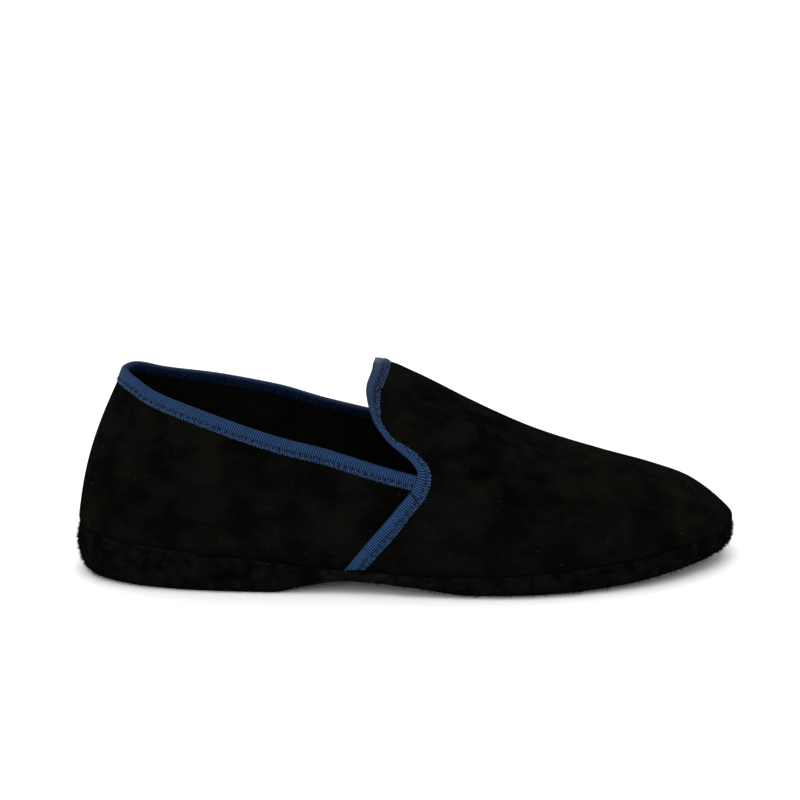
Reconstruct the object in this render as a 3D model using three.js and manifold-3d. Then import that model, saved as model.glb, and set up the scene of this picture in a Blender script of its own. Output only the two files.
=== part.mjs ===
// A man's right-foot suede slipper: a low-cut upper whose front panel laps over the quarters,
// ribbed blue ribbon folded over the top line and over the front panel's back edge,
// a padded insole, a soft suede sole and a suede-covered wedge heel.
// Millimetres. +X runs from heel to toe, +Y to the inner side of the foot, +Z up, floor at Z = 0.
import * as THREE from 'three';
import { mergeVertices } from 'three/addons/utils/BufferGeometryUtils.js';
import Module from 'manifold-3d';

const wasm = await Module();
wasm.setup();

// Driving sizes
const shoeLength = 290;
const ballWidth = 98;
const heelHeight = 90;
const tongueHeight = 95;
const innerRise = 8.5;
const riseStart = 0.08;
const riseSpan = 0.25;
const heelThickness = 21;
const archLift = 4.6;
const toeSpring = 6.5;
const soleEdgeRound = 5.5;
const upperWall = 2.0;
const vampLap = 0.8;
const lapWidth = 16;
const featherTuck = 1.0;
const tuckHeight = 3.0;
const lastingMargin = 12;
const heelBackLean = 56;
const crestEndGap = 29;
const crestDrift = 10;
const driftStart = 0.35;
const crestEase = 0.65;
const sideBulge = 0.02;
const bulgeTop = 0.6;
const ribbonLeg = 5.9;
const ribbonThickness = 0.7;
const foldCorner = 0.7;
const insoleThickness = 3.0;
const seatGap = 0.3;

// How finely the shapes are cut into faces
const loopSteps = 80;
const heightSteps = 11;
const toplineSteps = 48;
const throatSteps = 47;
const prismSteps = 44;
const searchSteps = 30;
const weldDistance = 1e-4;
const outlineStep = 0.002;
const lowHeights = [0, 0.012, 0.028];
const evenHeights = 0.055;

// Plan outline of the feather line, where upper and sole meet.
// along is a share of the shoe's length, outer and inner are shares of the ball width.
const outlineRows = [
  { along: 0.000, outer: 0.000, inner: 0.000 },
  { along: 0.022, outer: 0.160, inner: 0.196 },
  { along: 0.075, outer: 0.274, inner: 0.304 },
  { along: 0.160, outer: 0.348, inner: 0.336 },
  { along: 0.290, outer: 0.386, inner: 0.330 },
  { along: 0.420, outer: 0.408, inner: 0.334 },
  { along: 0.530, outer: 0.464, inner: 0.380 },
  { along: 0.635, outer: 0.491, inner: 0.450 },
  { along: 0.735, outer: 0.464, inner: 0.490 },
  { along: 0.835, outer: 0.382, inner: 0.468 },
  { along: 0.915, outer: 0.250, inner: 0.408 },
  { along: 0.975, outer: 0.086, inner: 0.290 },
  { along: 1.000, outer: -0.094, inner: 0.106 },
];

// Crest of the last: height is a share of the tongue height, round the exponent of the cross section.
// Over the open collar the crest is only the height that the side walls lean towards.
const crestRows = [
  { along: 0.000, height: 1.474, round: 1.33 },
  { along: 0.150, height: 1.474, round: 1.55 },
  { along: 0.300, height: 1.240, round: 1.81 },
  { along: 0.380, height: 0.990, round: 1.91 },
  { along: 0.440, height: 0.974, round: 1.94 },
  { along: 0.475, height: 0.953, round: 1.95 },
  { along: 0.500, height: 0.922, round: 1.96 },
  { along: 0.600, height: 0.760, round: 2.00 },
  { along: 0.700, height: 0.611, round: 2.05 },
  { along: 0.800, height: 0.500, round: 2.15 },
  { along: 0.880, height: 0.424, round: 2.30 },
  { along: 0.940, height: 0.363, round: 2.40 },
  { along: 1.000, height: 0.276, round: 2.50 },
];

// seat: height of the feather line, a share of the heel thickness. arch and spring: shares of the
// arch lift and the toe spring that raise the underside. round: share of the sole's edge rounding.
const soleRows = [
  { along: 0.00, seat: 1.010, arch: 0.00, spring: 0.00, round: 0.95 },
  { along: 0.10, seat: 0.955, arch: 0.00, spring: 0.00, round: 0.80 },
  { along: 0.20, seat: 0.825, arch: 0.00, spring: 0.00, round: 0.60 },
  { along: 0.29, seat: 0.692, arch: 0.00, spring: 0.00, round: 0.45 },
  { along: 0.34, seat: 0.600, arch: 0.50, spring: 0.00, round: 0.70 },
  { along: 0.40, seat: 0.505, arch: 1.00, spring: 0.00, round: 0.90 },
  { along: 0.50, seat: 0.460, arch: 0.58, spring: 0.00, round: 1.00 },
  { along: 0.58, seat: 0.470, arch: 0.00, spring: 0.00, round: 1.00 },
  { along: 0.70, seat: 0.535, arch: 0.00, spring: 0.00, round: 1.00 },
  { along: 0.80, seat: 0.618, arch: 0.00, spring: 0.17, round: 0.92 },
  { along: 0.90, seat: 0.705, arch: 0.00, spring: 0.52, round: 0.75 },
  { along: 1.00, seat: 0.780, arch: 0.00, spring: 0.88, round: 0.60 },
];

// Top line of the outer quarter, from the heel's back to where it runs under the front panel.
const toplineRows = [
  { along: 0.00, height: 1.010 },
  { along: 0.08, height: 0.995 },
  { along: 0.13, height: 0.928 },
  { along: 0.19, height: 0.865 },
  { along: 0.28, height: 0.765 },
  { along: 0.38, height: 0.669 },
  { along: 0.48, height: 0.580 },
  { along: 0.56, height: 0.530 },
];

// Back edge of the front panel on each side of the foot, from the sole up to the top of the tongue.
const throatRows = [
  { height: 0.00, outer: 0.3745, inner: 0.3720 },
  { height: 0.20, outer: 0.4240, inner: 0.4225 },
  { height: 0.40, outer: 0.4790, inner: 0.4720 },
  { height: 0.49, outer: 0.5025, inner: 0.4940 },
  { height: 0.55, outer: 0.5090, inner: 0.5070 },
  { height: 0.60, outer: 0.4985, inner: 0.5090 },
  { height: 0.68, outer: 0.4655, inner: 0.4910 },
  { height: 0.78, outer: 0.4430, inner: 0.4660 },
  { height: 0.88, outer: 0.4360, inner: 0.4560 },
  { height: 0.97, outer: 0.4500, inner: 0.4500 },
  { height: 1.60, outer: 0.4700, inner: 0.4700 },
];

// Side of the sole from the underside up, out is a share of the edge rounding.
const soleEdgeRows = [
  { up: 0.00, out: -1.00 },
  { up: 0.06, out: -0.60 },
  { up: 0.18, out: -0.27 },
  { up: 0.40, out: 0.02 },
  { up: 0.70, out: 0.12 },
  { up: 1.00, out: -0.06 },
];

// Breast of the heel in side view, as shares of the heel thickness and the shoe's length.
const breastRows = [
  { height: -0.50, along: 0.290 },
  { height: 0.00, along: 0.326 },
  { height: 0.18, along: 0.343 },
  { height: 0.40, along: 0.368 },
  { height: 0.62, along: 0.398 },
  { height: 1.20, along: 0.480 },
];

const clamp = (v, low, high) => Math.min(high, Math.max(low, v));
const smooth = (v) => clamp(v, 0, 1) ** 2 * (3 - 2 * clamp(v, 0, 1));
const stepsBetween = (from, to, count) => Array.from({ length: count + 1 },
  (_, i) => from + (to - from) * i / count);

// Smooth curve through a table's rows that never passes its own high and low points.
function fromTable(rows, key, column, at) {
  const last = rows.length - 1;
  const x = clamp(at, rows[0][key], rows[last][key]);
  let i = 0;
  while (i < last - 1 && x > rows[i + 1][key]) i += 1;
  const slope = (k) => (rows[k + 1][column] - rows[k][column]) / (rows[k + 1][key] - rows[k][key]);
  const tangent = (k) => {
    if (k === 0) return slope(0);
    if (k === last) return slope(last - 1);
    const product = slope(k - 1) * slope(k);
    return product <= 0 ? 0 : (2 * product) / (slope(k - 1) + slope(k));
  };
  const span = rows[i + 1][key] - rows[i][key];
  const t = (x - rows[i][key]) / span;
  return rows[i][column] * (2 * t ** 3 - 3 * t ** 2 + 1)
    + rows[i + 1][column] * (3 * t ** 2 - 2 * t ** 3)
    + tangent(i) * span * (t ** 3 - 2 * t ** 2 + t)
    + tangent(i + 1) * span * (t ** 3 - t ** 2);
}

const sizeAlong = (rows, column, x) => fromTable(rows, 'along', column, x / shoeLength);
const crestHeight = (x) => tongueHeight * sizeAlong(crestRows, 'height', x);
const featherHeight = (x) => heelThickness * sizeAlong(soleRows, 'seat', x);
const underside = (x) => archLift * sizeAlong(soleRows, 'arch', x)
  + toeSpring * sizeAlong(soleRows, 'spring', x);
const edgeRound = (x) => soleEdgeRound * sizeAlong(soleRows, 'round', x);
const breastX = (z) => shoeLength * fromTable(breastRows, 'height', 'along', z / heelThickness);
const throatX = (z, inner) => shoeLength
  * fromTable(throatRows, 'height', inner ? 'inner' : 'outer', z / tongueHeight);
const riseAt = (x) => innerRise * smooth((x / shoeLength - riseStart) / riseSpan);
const toplineZ = (x, inner) => heelHeight * sizeAlong(toplineRows, 'height', x) + (inner ? riseAt(x) : 0);

// The outline as a closed curve: u = 0 at the heel's back, then the outer side, toe at u = 0.5.
const outerPoints = outlineRows
  .map((row) => new THREE.Vector3(row.along * shoeLength, -row.outer * ballWidth, 0));
const innerPoints = outlineRows.slice(1, -1).reverse()
  .map((row) => new THREE.Vector3(row.along * shoeLength, row.inner * ballWidth, 0));
const outlineCurve = new THREE.CatmullRomCurve3([...outerPoints, ...innerPoints], true, 'centripetal');
const onOutline = (u) => outlineCurve.getPoint(u - Math.floor(u));
const onInnerSide = (u) => u - Math.floor(u) > 0.5;

function outlinePoint(u, out) {
  const p = onOutline(u);
  const along = onOutline(u + outlineStep).sub(onOutline(u - outlineStep)).normalize();
  return new THREE.Vector3(p.x + along.y * out, p.y - along.x * out, 0);
}

// Where the section that starts at u meets the one from the other side, on the crest.
function crestPoint(u) {
  const share = (onOutline(u).x + onOutline(1 - u).x) / 2 / shoeLength;
  const eased = share + crestEase * (0.5 - 0.5 * Math.cos(Math.PI * share) - share);
  const x = heelBackLean + (shoeLength - crestEndGap - heelBackLean) * eased;
  const drift = Math.max(0, (x / shoeLength - driftStart) / (1 - driftStart));
  return new THREE.Vector3(x, crestDrift * drift ** 1.2, 0);
}

// A point of the last: u round the outline, t from the feather line (0) up to the crest (1) and on
// down the other side (2), below 0 straight down. out grows the surface, lift raises its lower end,
// lap raises the front panel near its back edge.
function lastPoint(u, t, { out = 0, lift = 0, lap = 0 } = {}) {
  if (t > 1) return lastPoint(1 - u, 2 - t, { out, lift, lap });
  const crest = crestPoint(u);
  const base = onOutline(u);
  const exponent = 2 / sizeAlong(crestRows, 'round', base.x);
  const angle = Math.max(0, t) * Math.PI / 2;
  const rise = t < 1 ? Math.sin(angle) ** exponent + Math.min(0, t) * Math.PI / 2 : 1;
  const lean = t < 1 ? 1 - Math.cos(angle) ** exponent : 1;
  const inward = lean - sideBulge * Math.sin(Math.PI * clamp(rise / bulgeTop, 0, 1)) ** 2;
  const roughX = base.x + (crest.x - base.x) * inward;
  const roughZ = featherHeight(roughX) + (crestHeight(roughX) - featherHeight(roughX)) * rise;
  const tucked = featherTuck * (1 - smooth((roughZ - featherHeight(roughX)) / tuckHeight));
  const lapped = lap * (1 - smooth((roughX - throatX(roughZ, onInnerSide(u))) / lapWidth));
  const grown = out - tucked + lapped;
  const foot = outlinePoint(u, grown);
  const x = foot.x + (crest.x - foot.x) * inward;
  const y = foot.y + (crest.y - foot.y) * inward;
  const low = featherHeight(x) + lift;
  return new THREE.Vector3(x, y, low + (crestHeight(x) + grown - low) * rise);
}

// A three.js geometry as a solid with its faces turned outwards.
function toSolid(geometry) {
  geometry.deleteAttribute('normal');
  geometry.deleteAttribute('uv');
  const merged = mergeVertices(geometry, weldDistance);
  const positions = merged.attributes.position.array;
  const corner = (i) => new THREE.Vector3().fromArray(positions, 3 * i);
  const triangles = [];
  let volume = 0;
  for (let i = 0; i < merged.index.count; i += 3) {
    const [a, b, c] = [0, 1, 2].map((k) => merged.index.getX(i + k));
    if (a !== b && b !== c && a !== c) {
      triangles.push([a, b, c]);
      volume += corner(a).dot(corner(b).cross(corner(c)));
    }
  }
  const turned = triangles.map(([a, b, c]) => (volume < 0 ? [a, c, b] : [a, b, c]));
  return new wasm.Manifold(new wasm.Mesh({
    numProp: 3,
    vertProperties: positions,
    triVerts: new Uint32Array(turned.flat()),
  }));
}

// A solid from rings with the same number of points n. Rungs from each point to its opposite close
// the first and last ring: opposite is n - i round an outline, and n - 1 - i in a folded strip.
function ringSolid(rings, opposite = (i, n) => (n - i) % n) {
  const n = rings[0].length;
  const faces = [];
  for (let start = 0; start < (rings.length - 1) * n; start += n) {
    for (let i = 0; i < n; i += 1) {
      const [a, b] = [start + i, start + ((i + 1) % n)];
      faces.push([a, b, b + n], [a, b + n, a + n]);
    }
  }
  const top = (rings.length - 1) * n;
  for (let i = 0; i < n / 2; i += 1) {
    const [next, across, acrossNext] = [i + 1, opposite(i, n), opposite(i + 1, n)];
    faces.push([i, across, acrossNext], [i, acrossNext, next]);
    faces.push([top + i, top + acrossNext, top + across], [top + i, top + next, top + acrossNext]);
  }
  const geometry = new THREE.BufferGeometry();
  geometry.setAttribute('position', new THREE.Float32BufferAttribute(
    rings.flat().flatMap((p) => [p.x, p.y, p.z]), 3));
  geometry.setIndex(faces.flat());
  return toSolid(geometry);
}

// A side-view outline of [x, z] pairs, carried across the shoe between two values of y.
function sidePrism(pairs, from, to) {
  const shape = new THREE.Shape(pairs.map(([x, z]) => new THREE.Vector2(x, z)));
  const geometry = new THREE.ExtrudeGeometry(shape, { depth: to - from, bevelEnabled: false });
  geometry.rotateX(Math.PI / 2);
  geometry.translate(0, to, 0);
  return toSolid(geometry);
}

const reach = 1.2 * ballWidth;
const skyHeight = 1.55 * tongueHeight;
const deep = -heelThickness;
const roundLoop = stepsBetween(0, 1, loopSteps).slice(0, -1);
const middleOverlap = 0.02;
const bothSides = (makePrism) => makePrism(false, -reach, middleOverlap).add(makePrism(true, 0, reach));

// The whole last, closed over the collar and across the bottom.
function lastForm(options) {
  const heights = [...lowHeights, ...stepsBetween(evenHeights, 1, heightSteps)];
  return ringSolid(heights.map((t) => roundLoop.map((u) => lastPoint(u, t, options))));
}

// A plate of the outline's shape, grown by out, between two heights that follow the shoe's length.
function plate(out, lowAt, highAt) {
  return ringSolid([lowAt, highAt].map((heightAt) => roundLoop.map((u) => {
    const p = outlinePoint(u, out);
    return new THREE.Vector3(p.x, p.y, heightAt(p.x));
  })));
}

// Where a condition that holds at the low end stops holding.
function findShare(low, high, holds) {
  let [from, to] = [low, high];
  for (let i = 0; i < searchSteps; i += 1) {
    const middle = (from + to) / 2;
    if (holds(middle)) from = middle;
    else to = middle;
  }
  return from;
}

const throatEdge = (inner, shift) => stepsBetween(deep, skyHeight, prismSteps)
  .map((z) => [throatX(z, inner) + shift, z]);

// Everything in front of the front panel's back edge, moved forward by shift.
const aheadOfThroat = (shift) => bothSides((inner, from, to) => {
  const ends = [[shoeLength + reach, skyHeight], [shoeLength + reach, deep]];
  return sidePrism([...throatEdge(inner, shift), ...ends], from, to);
});

// The air above the top line and behind the front panel's edge.
const collarAir = () => bothSides((inner, from, to) => {
  const meetX = findShare(0, shoeLength, (x) => x < throatX(toplineZ(x, inner), inner));
  const topline = stepsBetween(0, meetX, prismSteps).map((x) => [x, toplineZ(x, inner)]);
  const edge = throatEdge(inner, 0).filter(([, z]) => z > toplineZ(meetX, inner));
  return sidePrism([[-reach, topline[0][1]], ...topline, ...edge, [-reach, skyHeight]], from, to);
});

// Everything below the top line raised by lift, carried on under the front panel.
const belowTopline = (lift) => bothSides((inner, from, to) => {
  const topline = stepsBetween(0, shoeLength, prismSteps).map((x) => [x, toplineZ(x, inner) + lift]);
  const ends = [[shoeLength, deep], [-reach, deep], [-reach, topline[0][1]]];
  return sidePrism([...topline, ...ends], from, to);
});

// The [u, t] where the wall over the outline point u crosses the top line, looked for below the crest.
const highestShare = 0.95;
const toplineStation = (u, options) => [u, findShare(0, highestShare, (t) => {
  const p = lastPoint(u, t, options);
  return p.z < toplineZ(p.x, onInnerSide(u));
})];

// The [u, t] where the height share t crosses the front panel's back edge, somewhere between the heel
// and the toe.
const throatSearch = [0.1, 0.45];
const throatStation = (t, options) => [findShare(...throatSearch, (u) => {
  const p = lastPoint(u, t, options);
  return p.x < throatX(p.z, t > 1);
}), t];

const blend = ([a, b], [c, d], share) => [a + (c - a) * share, b + (d - b) * share];

// The [u, t] found by going a distance over the surface, square to an edge that runs from a station
// towards ahead. hint says which way leads from the edge on to the material.
function squareToEdge([u, t], ahead, hint, distance) {
  const fine = 0.0005;
  const at = lastPoint(u, t);
  const alongU = lastPoint(u + fine, t).sub(at).divideScalar(fine);
  const alongT = lastPoint(u, t + fine).sub(at).divideScalar(fine);
  const edge = lastPoint(...ahead).sub(at).normalize();
  const square = alongU.clone().cross(alongT).normalize().cross(edge).normalize();
  const [a, b, c] = [alongU.dot(alongU), alongU.dot(alongT), alongT.dot(alongT)];
  const [p, q] = [square.dot(alongU), square.dot(alongT)];
  const [stepU, stepT] = [p * c - q * b, q * a - p * b].map((v) => v / (a * c - b * b));
  const forward = Math.sign(stepU * hint[0] + stepT * hint[1]) * distance;
  return [u + stepU * forward, t + stepT * forward];
}

// Section of a ribbon folded over the wall's edge: its outer skin from the outer leg over the fold
// to the inner leg, then its inner skin back again. depth goes from 0 to 1 through the wall.
function foldedRibbon(lap) {
  const skin = (grow) => [
    { depth: 0, distance: ribbonLeg, out: grow, lap },
    { depth: 0, distance: 0, out: grow, lap },
    { depth: 0, distance: -foldCorner * grow, out: foldCorner * grow, lap },
    { depth: 1 / 3, distance: -grow, out: -upperWall / 3, lap: 0 },
    { depth: 2 / 3, distance: -grow, out: -upperWall * 2 / 3, lap: 0 },
    { depth: 1, distance: -foldCorner * grow, out: -upperWall - foldCorner * grow, lap: 0 },
    { depth: 1, distance: 0, out: -upperWall - grow, lap: 0 },
    { depth: 1, distance: ribbonLeg, out: -upperWall - grow, lap: 0 },
  ];
  return [...skin(seatGap + ribbonThickness), ...skin(seatGap).reverse()];
}

// A ribbon swept along the edge that stationOn gives for the wall's outer and inner face.
function ribbonSolid(shares, stationOn, hint, lap) {
  const stations = shares.map((share) => ({
    outer: stationOn(share, { lap }),
    inner: stationOn(share, { out: -upperWall }),
  }));
  const sections = stations.map(({ outer, inner }, i) => {
    const before = stations[Math.max(0, i - 1)];
    const after = stations[Math.min(stations.length - 1, i + 1)];
    return foldedRibbon(lap).map(({ depth, distance, out, lap: raised }) => {
      const base = blend(outer, inner, depth);
      const from = blend(before.outer, before.inner, depth);
      const to = blend(after.outer, after.inner, depth);
      const ahead = [base[0] + (to[0] - from[0]) / 4, base[1] + (to[1] - from[1]) / 4];
      const [u, t] = squareToEdge(base, ahead, hint, distance);
      return lastPoint(u, t, { out, lap: raised });
    });
  });
  return ringSolid(sections, (i, n) => n - 1 - i);
}

function makeUpper() {
  const quarters = lastForm({});
  const frontPanel = lastForm({ lap: vampLap }).intersect(aheadOfThroat(0));
  const cavity = lastForm({ out: -upperWall, lift: upperWall });
  const opening = plate(-lastingMargin, () => deep, (x) => featherHeight(x) + 2 * upperWall);
  return quarters.add(frontPanel).subtract(cavity).subtract(opening).subtract(collarAir());
}

// The wall made thicker on both faces, to keep what lies on it clear.
const wallWithRoom = (lap) => lastForm({ out: seatGap / 2, lap })
  .subtract(lastForm({ out: -upperWall - seatGap / 2, lift: upperWall }));

function makeToplineBinding() {
  const endUnderPanel = 0.28;
  const shares = stepsBetween(endUnderPanel, -endUnderPanel, toplineSteps);
  const ribbon = ribbonSolid(shares, toplineStation, [0, -1], 0);
  return ribbon.subtract(wallWithRoom(0).intersect(belowTopline(seatGap / 2)))
    .subtract(aheadOfThroat(-2 * (seatGap + ribbonThickness)));
}

function makeVampBinding() {
  const belowFeather = 0.05;
  const shares = stepsBetween(-belowFeather, 2 + belowFeather, throatSteps);
  const ribbon = ribbonSolid(shares, throatStation, [1, 0], vampLap);
  const quarters = lastForm({ out: seatGap }).intersect(belowTopline(seatGap));
  const sole = plate(2 * ribbonLeg, () => 2 * deep, (x) => featherHeight(x) + seatGap / 3);
  return ribbon.subtract(wallWithRoom(vampLap).intersect(aheadOfThroat(-seatGap / 2)))
    .subtract(quarters).subtract(sole);
}

function makeInsole() {
  const seat = upperWall + seatGap;
  const slab = plate(0, () => deep, (x) => featherHeight(x) + seat + insoleThickness);
  return lastForm({ out: -seat - seatGap / 2, lift: seat }).intersect(slab);
}

const soleUnit = ringSolid(soleEdgeRows.map(({ up, out }) => roundLoop.map((u) => {
  const { x } = onOutline(u);
  const p = outlinePoint(u, out * edgeRound(x));
  const top = featherHeight(p.x) - seatGap;
  return new THREE.Vector3(p.x, p.y, underside(x) + (top - underside(x)) * up);
})));

// Everything behind the heel's breast, moved forward by shift.
function behindBreast(shift) {
  const [low, high] = [deep / 2, heelThickness - deep / 5];
  const breast = stepsBetween(low, high, prismSteps / 2).map((z) => [breastX(z) + shift, z]);
  return sidePrism([...breast, [-reach, high], [-reach, low]], -reach, reach);
}

// Colours and finish of the pieces
const suede = { color: 0x1b1a19, roughness: 0.95, metalness: 0 };
const ribbonFinish = { color: 0x14366b, roughness: 0.7, metalness: 0 };
const lining = { color: 0x121212, roughness: 0.9, metalness: 0 };
const soleSuede = { color: 0x222120, roughness: 1, metalness: 0 };

function named(name, solid, finish) {
  const { vertProperties, triVerts } = solid.getMesh();
  const geometry = new THREE.BufferGeometry();
  geometry.setAttribute('position', new THREE.BufferAttribute(vertProperties, 3));
  geometry.setIndex(new THREE.BufferAttribute(triVerts, 1));
  geometry.computeVertexNormals();
  const mesh = new THREE.Mesh(geometry, new THREE.MeshStandardMaterial(finish));
  mesh.name = name;
  return mesh;
}

const slipper = new THREE.Group();
slipper.add(
  named('upper', makeUpper(), suede),
  named('topline_binding', makeToplineBinding(), ribbonFinish),
  named('vamp_binding', makeVampBinding(), ribbonFinish),
  named('insole', makeInsole(), lining),
  named('outsole', soleUnit.subtract(behindBreast(2 * seatGap)), soleSuede),
  named('heel', soleUnit.intersect(behindBreast(0)), soleSuede),
);

// The origin is on the floor under the middle of the slipper's box.
const middle = new THREE.Box3().setFromObject(slipper).getCenter(new THREE.Vector3());
slipper.position.set(-middle.x, -middle.y, 0);

export default slipper;
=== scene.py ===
# A man's right-foot suede slipper, bound with blue grosgrain ribbon, on a plain pale floor.
# Shapes are worked out in the shoe's own millimetres, +X from heel to toe, +Y to the inner side of the
# foot, and moved into the frame's metres as each mesh is made.
import math

import bmesh
import bpy
import numpy as np
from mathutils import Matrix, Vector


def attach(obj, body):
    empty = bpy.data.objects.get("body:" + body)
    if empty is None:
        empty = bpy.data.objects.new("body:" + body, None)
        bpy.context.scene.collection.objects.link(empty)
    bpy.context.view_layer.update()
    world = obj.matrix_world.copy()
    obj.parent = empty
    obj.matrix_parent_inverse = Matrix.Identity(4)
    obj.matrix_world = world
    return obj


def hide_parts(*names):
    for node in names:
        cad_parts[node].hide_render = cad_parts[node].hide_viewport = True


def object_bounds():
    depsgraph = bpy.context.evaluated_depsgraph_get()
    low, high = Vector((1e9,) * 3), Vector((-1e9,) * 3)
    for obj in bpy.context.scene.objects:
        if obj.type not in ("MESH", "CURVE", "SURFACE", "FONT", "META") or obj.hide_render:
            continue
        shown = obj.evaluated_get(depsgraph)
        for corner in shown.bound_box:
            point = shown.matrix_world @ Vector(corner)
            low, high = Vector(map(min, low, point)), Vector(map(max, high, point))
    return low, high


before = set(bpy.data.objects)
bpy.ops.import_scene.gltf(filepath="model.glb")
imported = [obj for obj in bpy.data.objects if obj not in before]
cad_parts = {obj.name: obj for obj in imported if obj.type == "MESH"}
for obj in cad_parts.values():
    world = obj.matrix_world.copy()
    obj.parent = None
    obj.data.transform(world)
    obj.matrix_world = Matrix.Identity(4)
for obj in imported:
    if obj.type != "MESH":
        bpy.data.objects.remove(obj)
cadLow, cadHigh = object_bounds()
metre = 0.001
print("frame loaded", len(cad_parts), "nodes")

# The shoe's driving sizes, as in the frame's source

shoe = {
    "length": 290.0,
    "ballWidth": 98.0,
    "heelHeight": 90.0,
    "tongueHeight": 95.0,
    "innerRise": 8.5,
    "riseStart": 0.08,
    "riseSpan": 0.25,
    "heelThickness": 21.0,
    "archLift": 4.6,
    "toeSpring": 6.5,
    "soleEdgeRound": 5.5,
    "wall": 2.0,
    "vampLap": 0.8,
    "lapWidth": 16.0,
    "featherTuck": 1.0,
    "tuckHeight": 3.0,
    "heelBackLean": 56.0,
    "crestEndGap": 29.0,
    "crestDrift": 10.0,
    "driftStart": 0.35,
    "crestEase": 0.65,
    "sideBulge": 0.02,
    "bulgeTop": 0.6,
    "seatGap": 0.3,
    "insoleThickness": 3.0,
}

# along, outer and inner: shares of the length and of the ball width
outlineRows = [
    (0.000, 0.000, 0.000),
    (0.022, 0.160, 0.196),
    (0.075, 0.274, 0.304),
    (0.160, 0.348, 0.336),
    (0.290, 0.386, 0.330),
    (0.420, 0.408, 0.334),
    (0.530, 0.464, 0.380),
    (0.635, 0.491, 0.450),
    (0.735, 0.464, 0.490),
    (0.835, 0.382, 0.468),
    (0.915, 0.250, 0.408),
    (0.975, 0.086, 0.290),
    (1.000, -0.094, 0.106),
]

# along, height as a share of the tongue height, roundness of the cross section
crestRows = [
    (0.000, 1.474, 1.33),
    (0.150, 1.474, 1.55),
    (0.300, 1.240, 1.81),
    (0.380, 0.990, 1.91),
    (0.440, 0.974, 1.94),
    (0.475, 0.953, 1.95),
    (0.500, 0.922, 1.96),
    (0.600, 0.760, 2.00),
    (0.700, 0.611, 2.05),
    (0.800, 0.500, 2.15),
    (0.880, 0.424, 2.30),
    (0.940, 0.363, 2.40),
    (1.000, 0.276, 2.50),
]

# along, seat, arch, spring, edge round: shares of heel thickness, arch lift, toe spring and edge round
soleRows = [
    (0.00, 1.010, 0.00, 0.00, 0.95),
    (0.10, 0.955, 0.00, 0.00, 0.80),
    (0.20, 0.825, 0.00, 0.00, 0.60),
    (0.29, 0.692, 0.00, 0.00, 0.45),
    (0.34, 0.600, 0.50, 0.00, 0.70),
    (0.40, 0.505, 1.00, 0.00, 0.90),
    (0.50, 0.460, 0.58, 0.00, 1.00),
    (0.58, 0.470, 0.00, 0.00, 1.00),
    (0.70, 0.535, 0.00, 0.00, 1.00),
    (0.80, 0.618, 0.00, 0.17, 0.92),
    (0.90, 0.705, 0.00, 0.52, 0.75),
    (1.00, 0.780, 0.00, 0.88, 0.60),
]

# along, height of the top line as a share of the heel height
toplineRows = [
    (0.00, 1.010),
    (0.08, 0.995),
    (0.13, 0.928),
    (0.19, 0.865),
    (0.28, 0.765),
    (0.38, 0.669),
    (0.48, 0.580),
    (0.56, 0.530),
]

# height as a share of the tongue height, back edge of the front panel on the outer and inner side
throatRows = [
    (0.00, 0.3745, 0.3720),
    (0.20, 0.4240, 0.4225),
    (0.40, 0.4790, 0.4720),
    (0.49, 0.5025, 0.4940),
    (0.55, 0.5090, 0.5070),
    (0.60, 0.4985, 0.5090),
    (0.68, 0.4655, 0.4910),
    (0.78, 0.4430, 0.4660),
    (0.88, 0.4360, 0.4560),
    (0.97, 0.4500, 0.4500),
    (1.60, 0.4700, 0.4700),
]

# up the side of the sole, share of the edge round that it stands out
soleEdgeRows = [
    (0.00, -1.00),
    (0.06, -0.60),
    (0.18, -0.27),
    (0.40, 0.02),
    (0.70, 0.12),
    (1.00, -0.06),
]

# height as a share of the heel thickness, breast of the heel as a share of the length
breastRows = [
    (-0.50, 0.290),
    (0.00, 0.326),
    (0.18, 0.343),
    (0.40, 0.368),
    (0.62, 0.398),
    (1.20, 0.480),
]

length = shoe["length"]
wall = shoe["wall"]

# Soft hollows (below zero) and ridges of the suede.
# along mm, height mm, side (-1 outer, 1 inner, 0 both), reach mm, width mm, turn in degrees, depth mm
softRows = [
    (70, 40, -1, 26, 9, -14, -0.55),
    (118, 33, -1, 15, 8, 35, -0.50),
    (40, 52, -1, 13, 9, 60, -0.40),
    (24, 36, -1, 9, 14, 80, 0.35),
    (100, 20, -1, 22, 5, -8, 0.30),
    (133, 41, -1, 10, 3.0, 48, -0.45),
    (127, 36, -1, 9, 3.0, 44, 0.28),
    (158, 38, -1, 18, 8, 22, -0.35),
    (186, 34, -1, 17, 7, 62, -0.50),
    (201, 30, -1, 16, 6, 64, 0.34),
    (216, 26, -1, 15, 8, 60, -0.32),
    (172, 62, 0, 15, 8, 8, -0.30),
    (247, 33, -1, 14, 6, 74, -0.30),
    (268, 27, 0, 12, 9, 60, 0.22),
    (66, 42, 1, 24, 9, -12, -0.50),
    (112, 40, 1, 18, 8, 20, -0.45),
    (36, 50, 1, 12, 9, 62, -0.35),
    (182, 36, 1, 17, 8, 60, -0.45),
    (199, 31, 1, 15, 6, 62, 0.30),
    (150, 44, 1, 14, 7, 30, -0.30),
    (127, 94, 0, 7, 7, 0, -1.10),
    (2, 91, 0, 8, 5, 0, -0.90),
    (2, 77, 0, 8, 8, 0, 0.45),
]


def smooth(v):
    held = np.clip(v, 0, 1)
    return held * held * (3 - 2 * held)


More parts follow.
